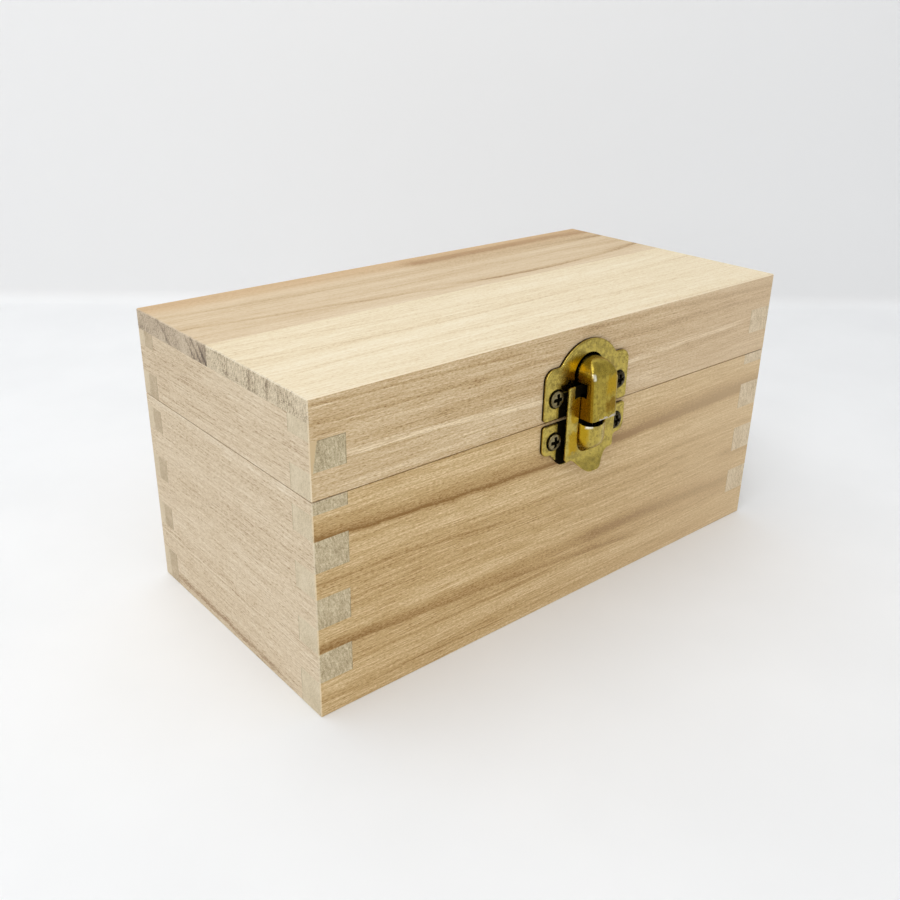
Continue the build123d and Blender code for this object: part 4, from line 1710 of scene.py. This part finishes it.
@dataclass
class Studio:
    """Pale floor and backdrop, soft lamps and the camera, in metres."""

    eye: tuple[float, float, float] = (-0.195054, -0.214931, 0.166813)
    heading: float = 0.685775
    dip: float = 0.420165
    roll: float = 0.00779
    focal: float = 966.54
    centre: tuple[float, float] = (427.64, 440.17)
    picture: float = 900.0
    backdrop_distance: float = 0.580
    bend: float = 0.008

    def camera(self) -> None:
        """Sets the camera from its heading, dip and roll, focal length and image centre."""
        data = bpy.data.cameras.new("camera")
        data.sensor_width = 36.0
        data.lens = self.focal / self.picture * data.sensor_width
        data.shift_x = 0.5 - self.centre[0] / self.picture
        data.shift_y = self.centre[1] / self.picture - 0.5
        data.clip_start, data.clip_end = 0.005, 50.0
        forward = Vector(
            (
                math.sin(self.heading) * math.cos(self.dip),
                math.cos(self.heading) * math.cos(self.dip),
                -math.sin(self.dip),
            )
        )
        level = Vector((math.cos(self.heading), -math.sin(self.heading), 0.0))
        upright = level.cross(forward)
        right = math.cos(self.roll) * level + math.sin(self.roll) * upright
        up = math.cos(self.roll) * upright - math.sin(self.roll) * level
        turn = Matrix((right, up, -forward)).transposed().to_4x4()
        made = bpy.data.objects.new("camera", data)
        made.matrix_world = Matrix.Translation(self.eye) @ turn
        bpy.context.scene.collection.objects.link(made)
        bpy.context.scene.camera = made

    def sweep(self) -> bpy.types.Object:
        """Floor and backdrop as one sheet: flat, then a quarter circle, then upright."""
        turn = np.radians(np.linspace(0.0, 90.0, 17))
        far = self.backdrop_distance
        flat_run = np.linspace(-4.0, far - self.bend, 30)
        reach = np.concatenate([flat_run, far - self.bend + self.bend * np.sin(turn)[1:], [far]])
        height = np.concatenate([np.zeros(30), self.bend * (1 - np.cos(turn))[1:], [4.0]])
        side = np.linspace(-4.0, 4.0, 9)
        ahead = np.array([math.sin(self.heading), math.cos(self.heading)])
        beside = np.array([ahead[1], -ahead[0]])
        flat = np.array(self.eye[:2]) + reach[:, None, None] * ahead + side[None, :, None] * beside
        level = np.broadcast_to(height[:, None, None], flat.shape[:2] + (1,))
        grid = np.concatenate([flat, level], axis=-1)
        quads = grid_faces(*grid.shape[:2])
        mesh = bpy.data.meshes.new("sweep")
        mesh.from_pydata(grid.reshape(-1, 3).tolist(), [], quads.tolist())
        mesh.shade_smooth()
        made = bpy.data.objects.new("sweep", mesh)
        bpy.context.scene.collection.objects.link(made)
        made.data.materials.append(self._paper())
        return made

    def _paper(self) -> bpy.types.Material:
        """Matt white paper: near white on the floor, a little greyer upright, clear from behind."""
        sheet = ShaderSheet("studio_paper")
        x, y, z = sheet.place()
        mottle = sheet.noise(x / 60.0, y / 60.0, z / 60.0, 3.0)
        floor = sheet.blend(mottle.rise(-0.2, 0.2), (0.86, 0.87, 0.88), (0.885, 0.895, 0.905))
        colour = sheet.blend(z.rise(0.5, 6.0), floor, (0.86, 0.865, 0.872))
        material = sheet.finish({"Roughness": 0.9, "Specular IOR Level": 0.1}, {"Base Color": colour})
        behind = sheet.add("ShaderNodeNewGeometry", {}, {}, out=6)
        clear = sheet.add("ShaderNodeBsdfTransparent", {}, {})
        paper = Signal(sheet, sheet.shader.outputs[0])
        mixed = sheet.add("ShaderNodeMixShader", {}, {0: behind, 1: paper, 2: clear})
        output = sheet.tree.nodes["Material Output"]
        sheet.tree.links.new(mixed.socket, output.inputs[0])
        return material

    @staticmethod
    def lamp(
        name: str,
        place: tuple[float, float, float],
        aim: tuple[float, float, float],
        size: float,
        power: float,
    ) -> None:
        """Adds one square soft lamp.

        Args:
            name: The lamp's name.
            place: Where it stands, in metres.
            aim: What it points at.
            size: Its side, in metres.
            power: Its power, in watts.
        """
        data = bpy.data.lights.new(name, "AREA")
        data.size = size
        data.energy = power
        made = bpy.data.objects.new(name, data)
        made.location = place
        made.rotation_euler = (Vector(aim) - Vector(place)).to_track_quat("-Z", "Y").to_euler()
        bpy.context.scene.collection.objects.link(made)

    def build(self) -> None:
        """Makes the stage."""
        self.camera()
        self.sweep()
        world = bpy.data.worlds.new("room")
        world.use_nodes = True
        world.node_tree.nodes["Background"].inputs[0].default_value = (1.0, 1.0, 1.0, 1.0)
        world.node_tree.nodes["Background"].inputs[1].default_value = 0.6
        bpy.context.scene.world = world
        self.lamp("overhead", (-0.25, 0.05, 0.9), (0.0, 0.0, 0.05), 0.8, 3.2)
        self.lamp("window", (-0.9, -0.5, 0.55), (0.0, 0.0, 0.04), 0.7, 2.2)
        self.lamp("spark", (-0.5, -0.35, 0.75), (0.0, 0.0, 0.06), 0.06, 0.4)
        bpy.context.scene.view_settings.view_transform = "Standard"


def main() -> None:
    """Builds the stage and dresses the box."""
    logging.basicConfig(level=logging.INFO, format="%(name)s: %(message)s")
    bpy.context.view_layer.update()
    Studio().build()
    body = BoxBody()
    body.dress()
    Lid(body).dress()
    catch, hinges = Catch(), Hinges()
    pressed, screws = catch.build(), hinges.build()
    catch.dress(pressed)
    hinges.dress(screws)
    for piece in [*pressed.values(), *screws]:
        report.info("%s has %d faces", piece.name, len(piece.data.polygons))


if __name__ == "__main__":
    main()
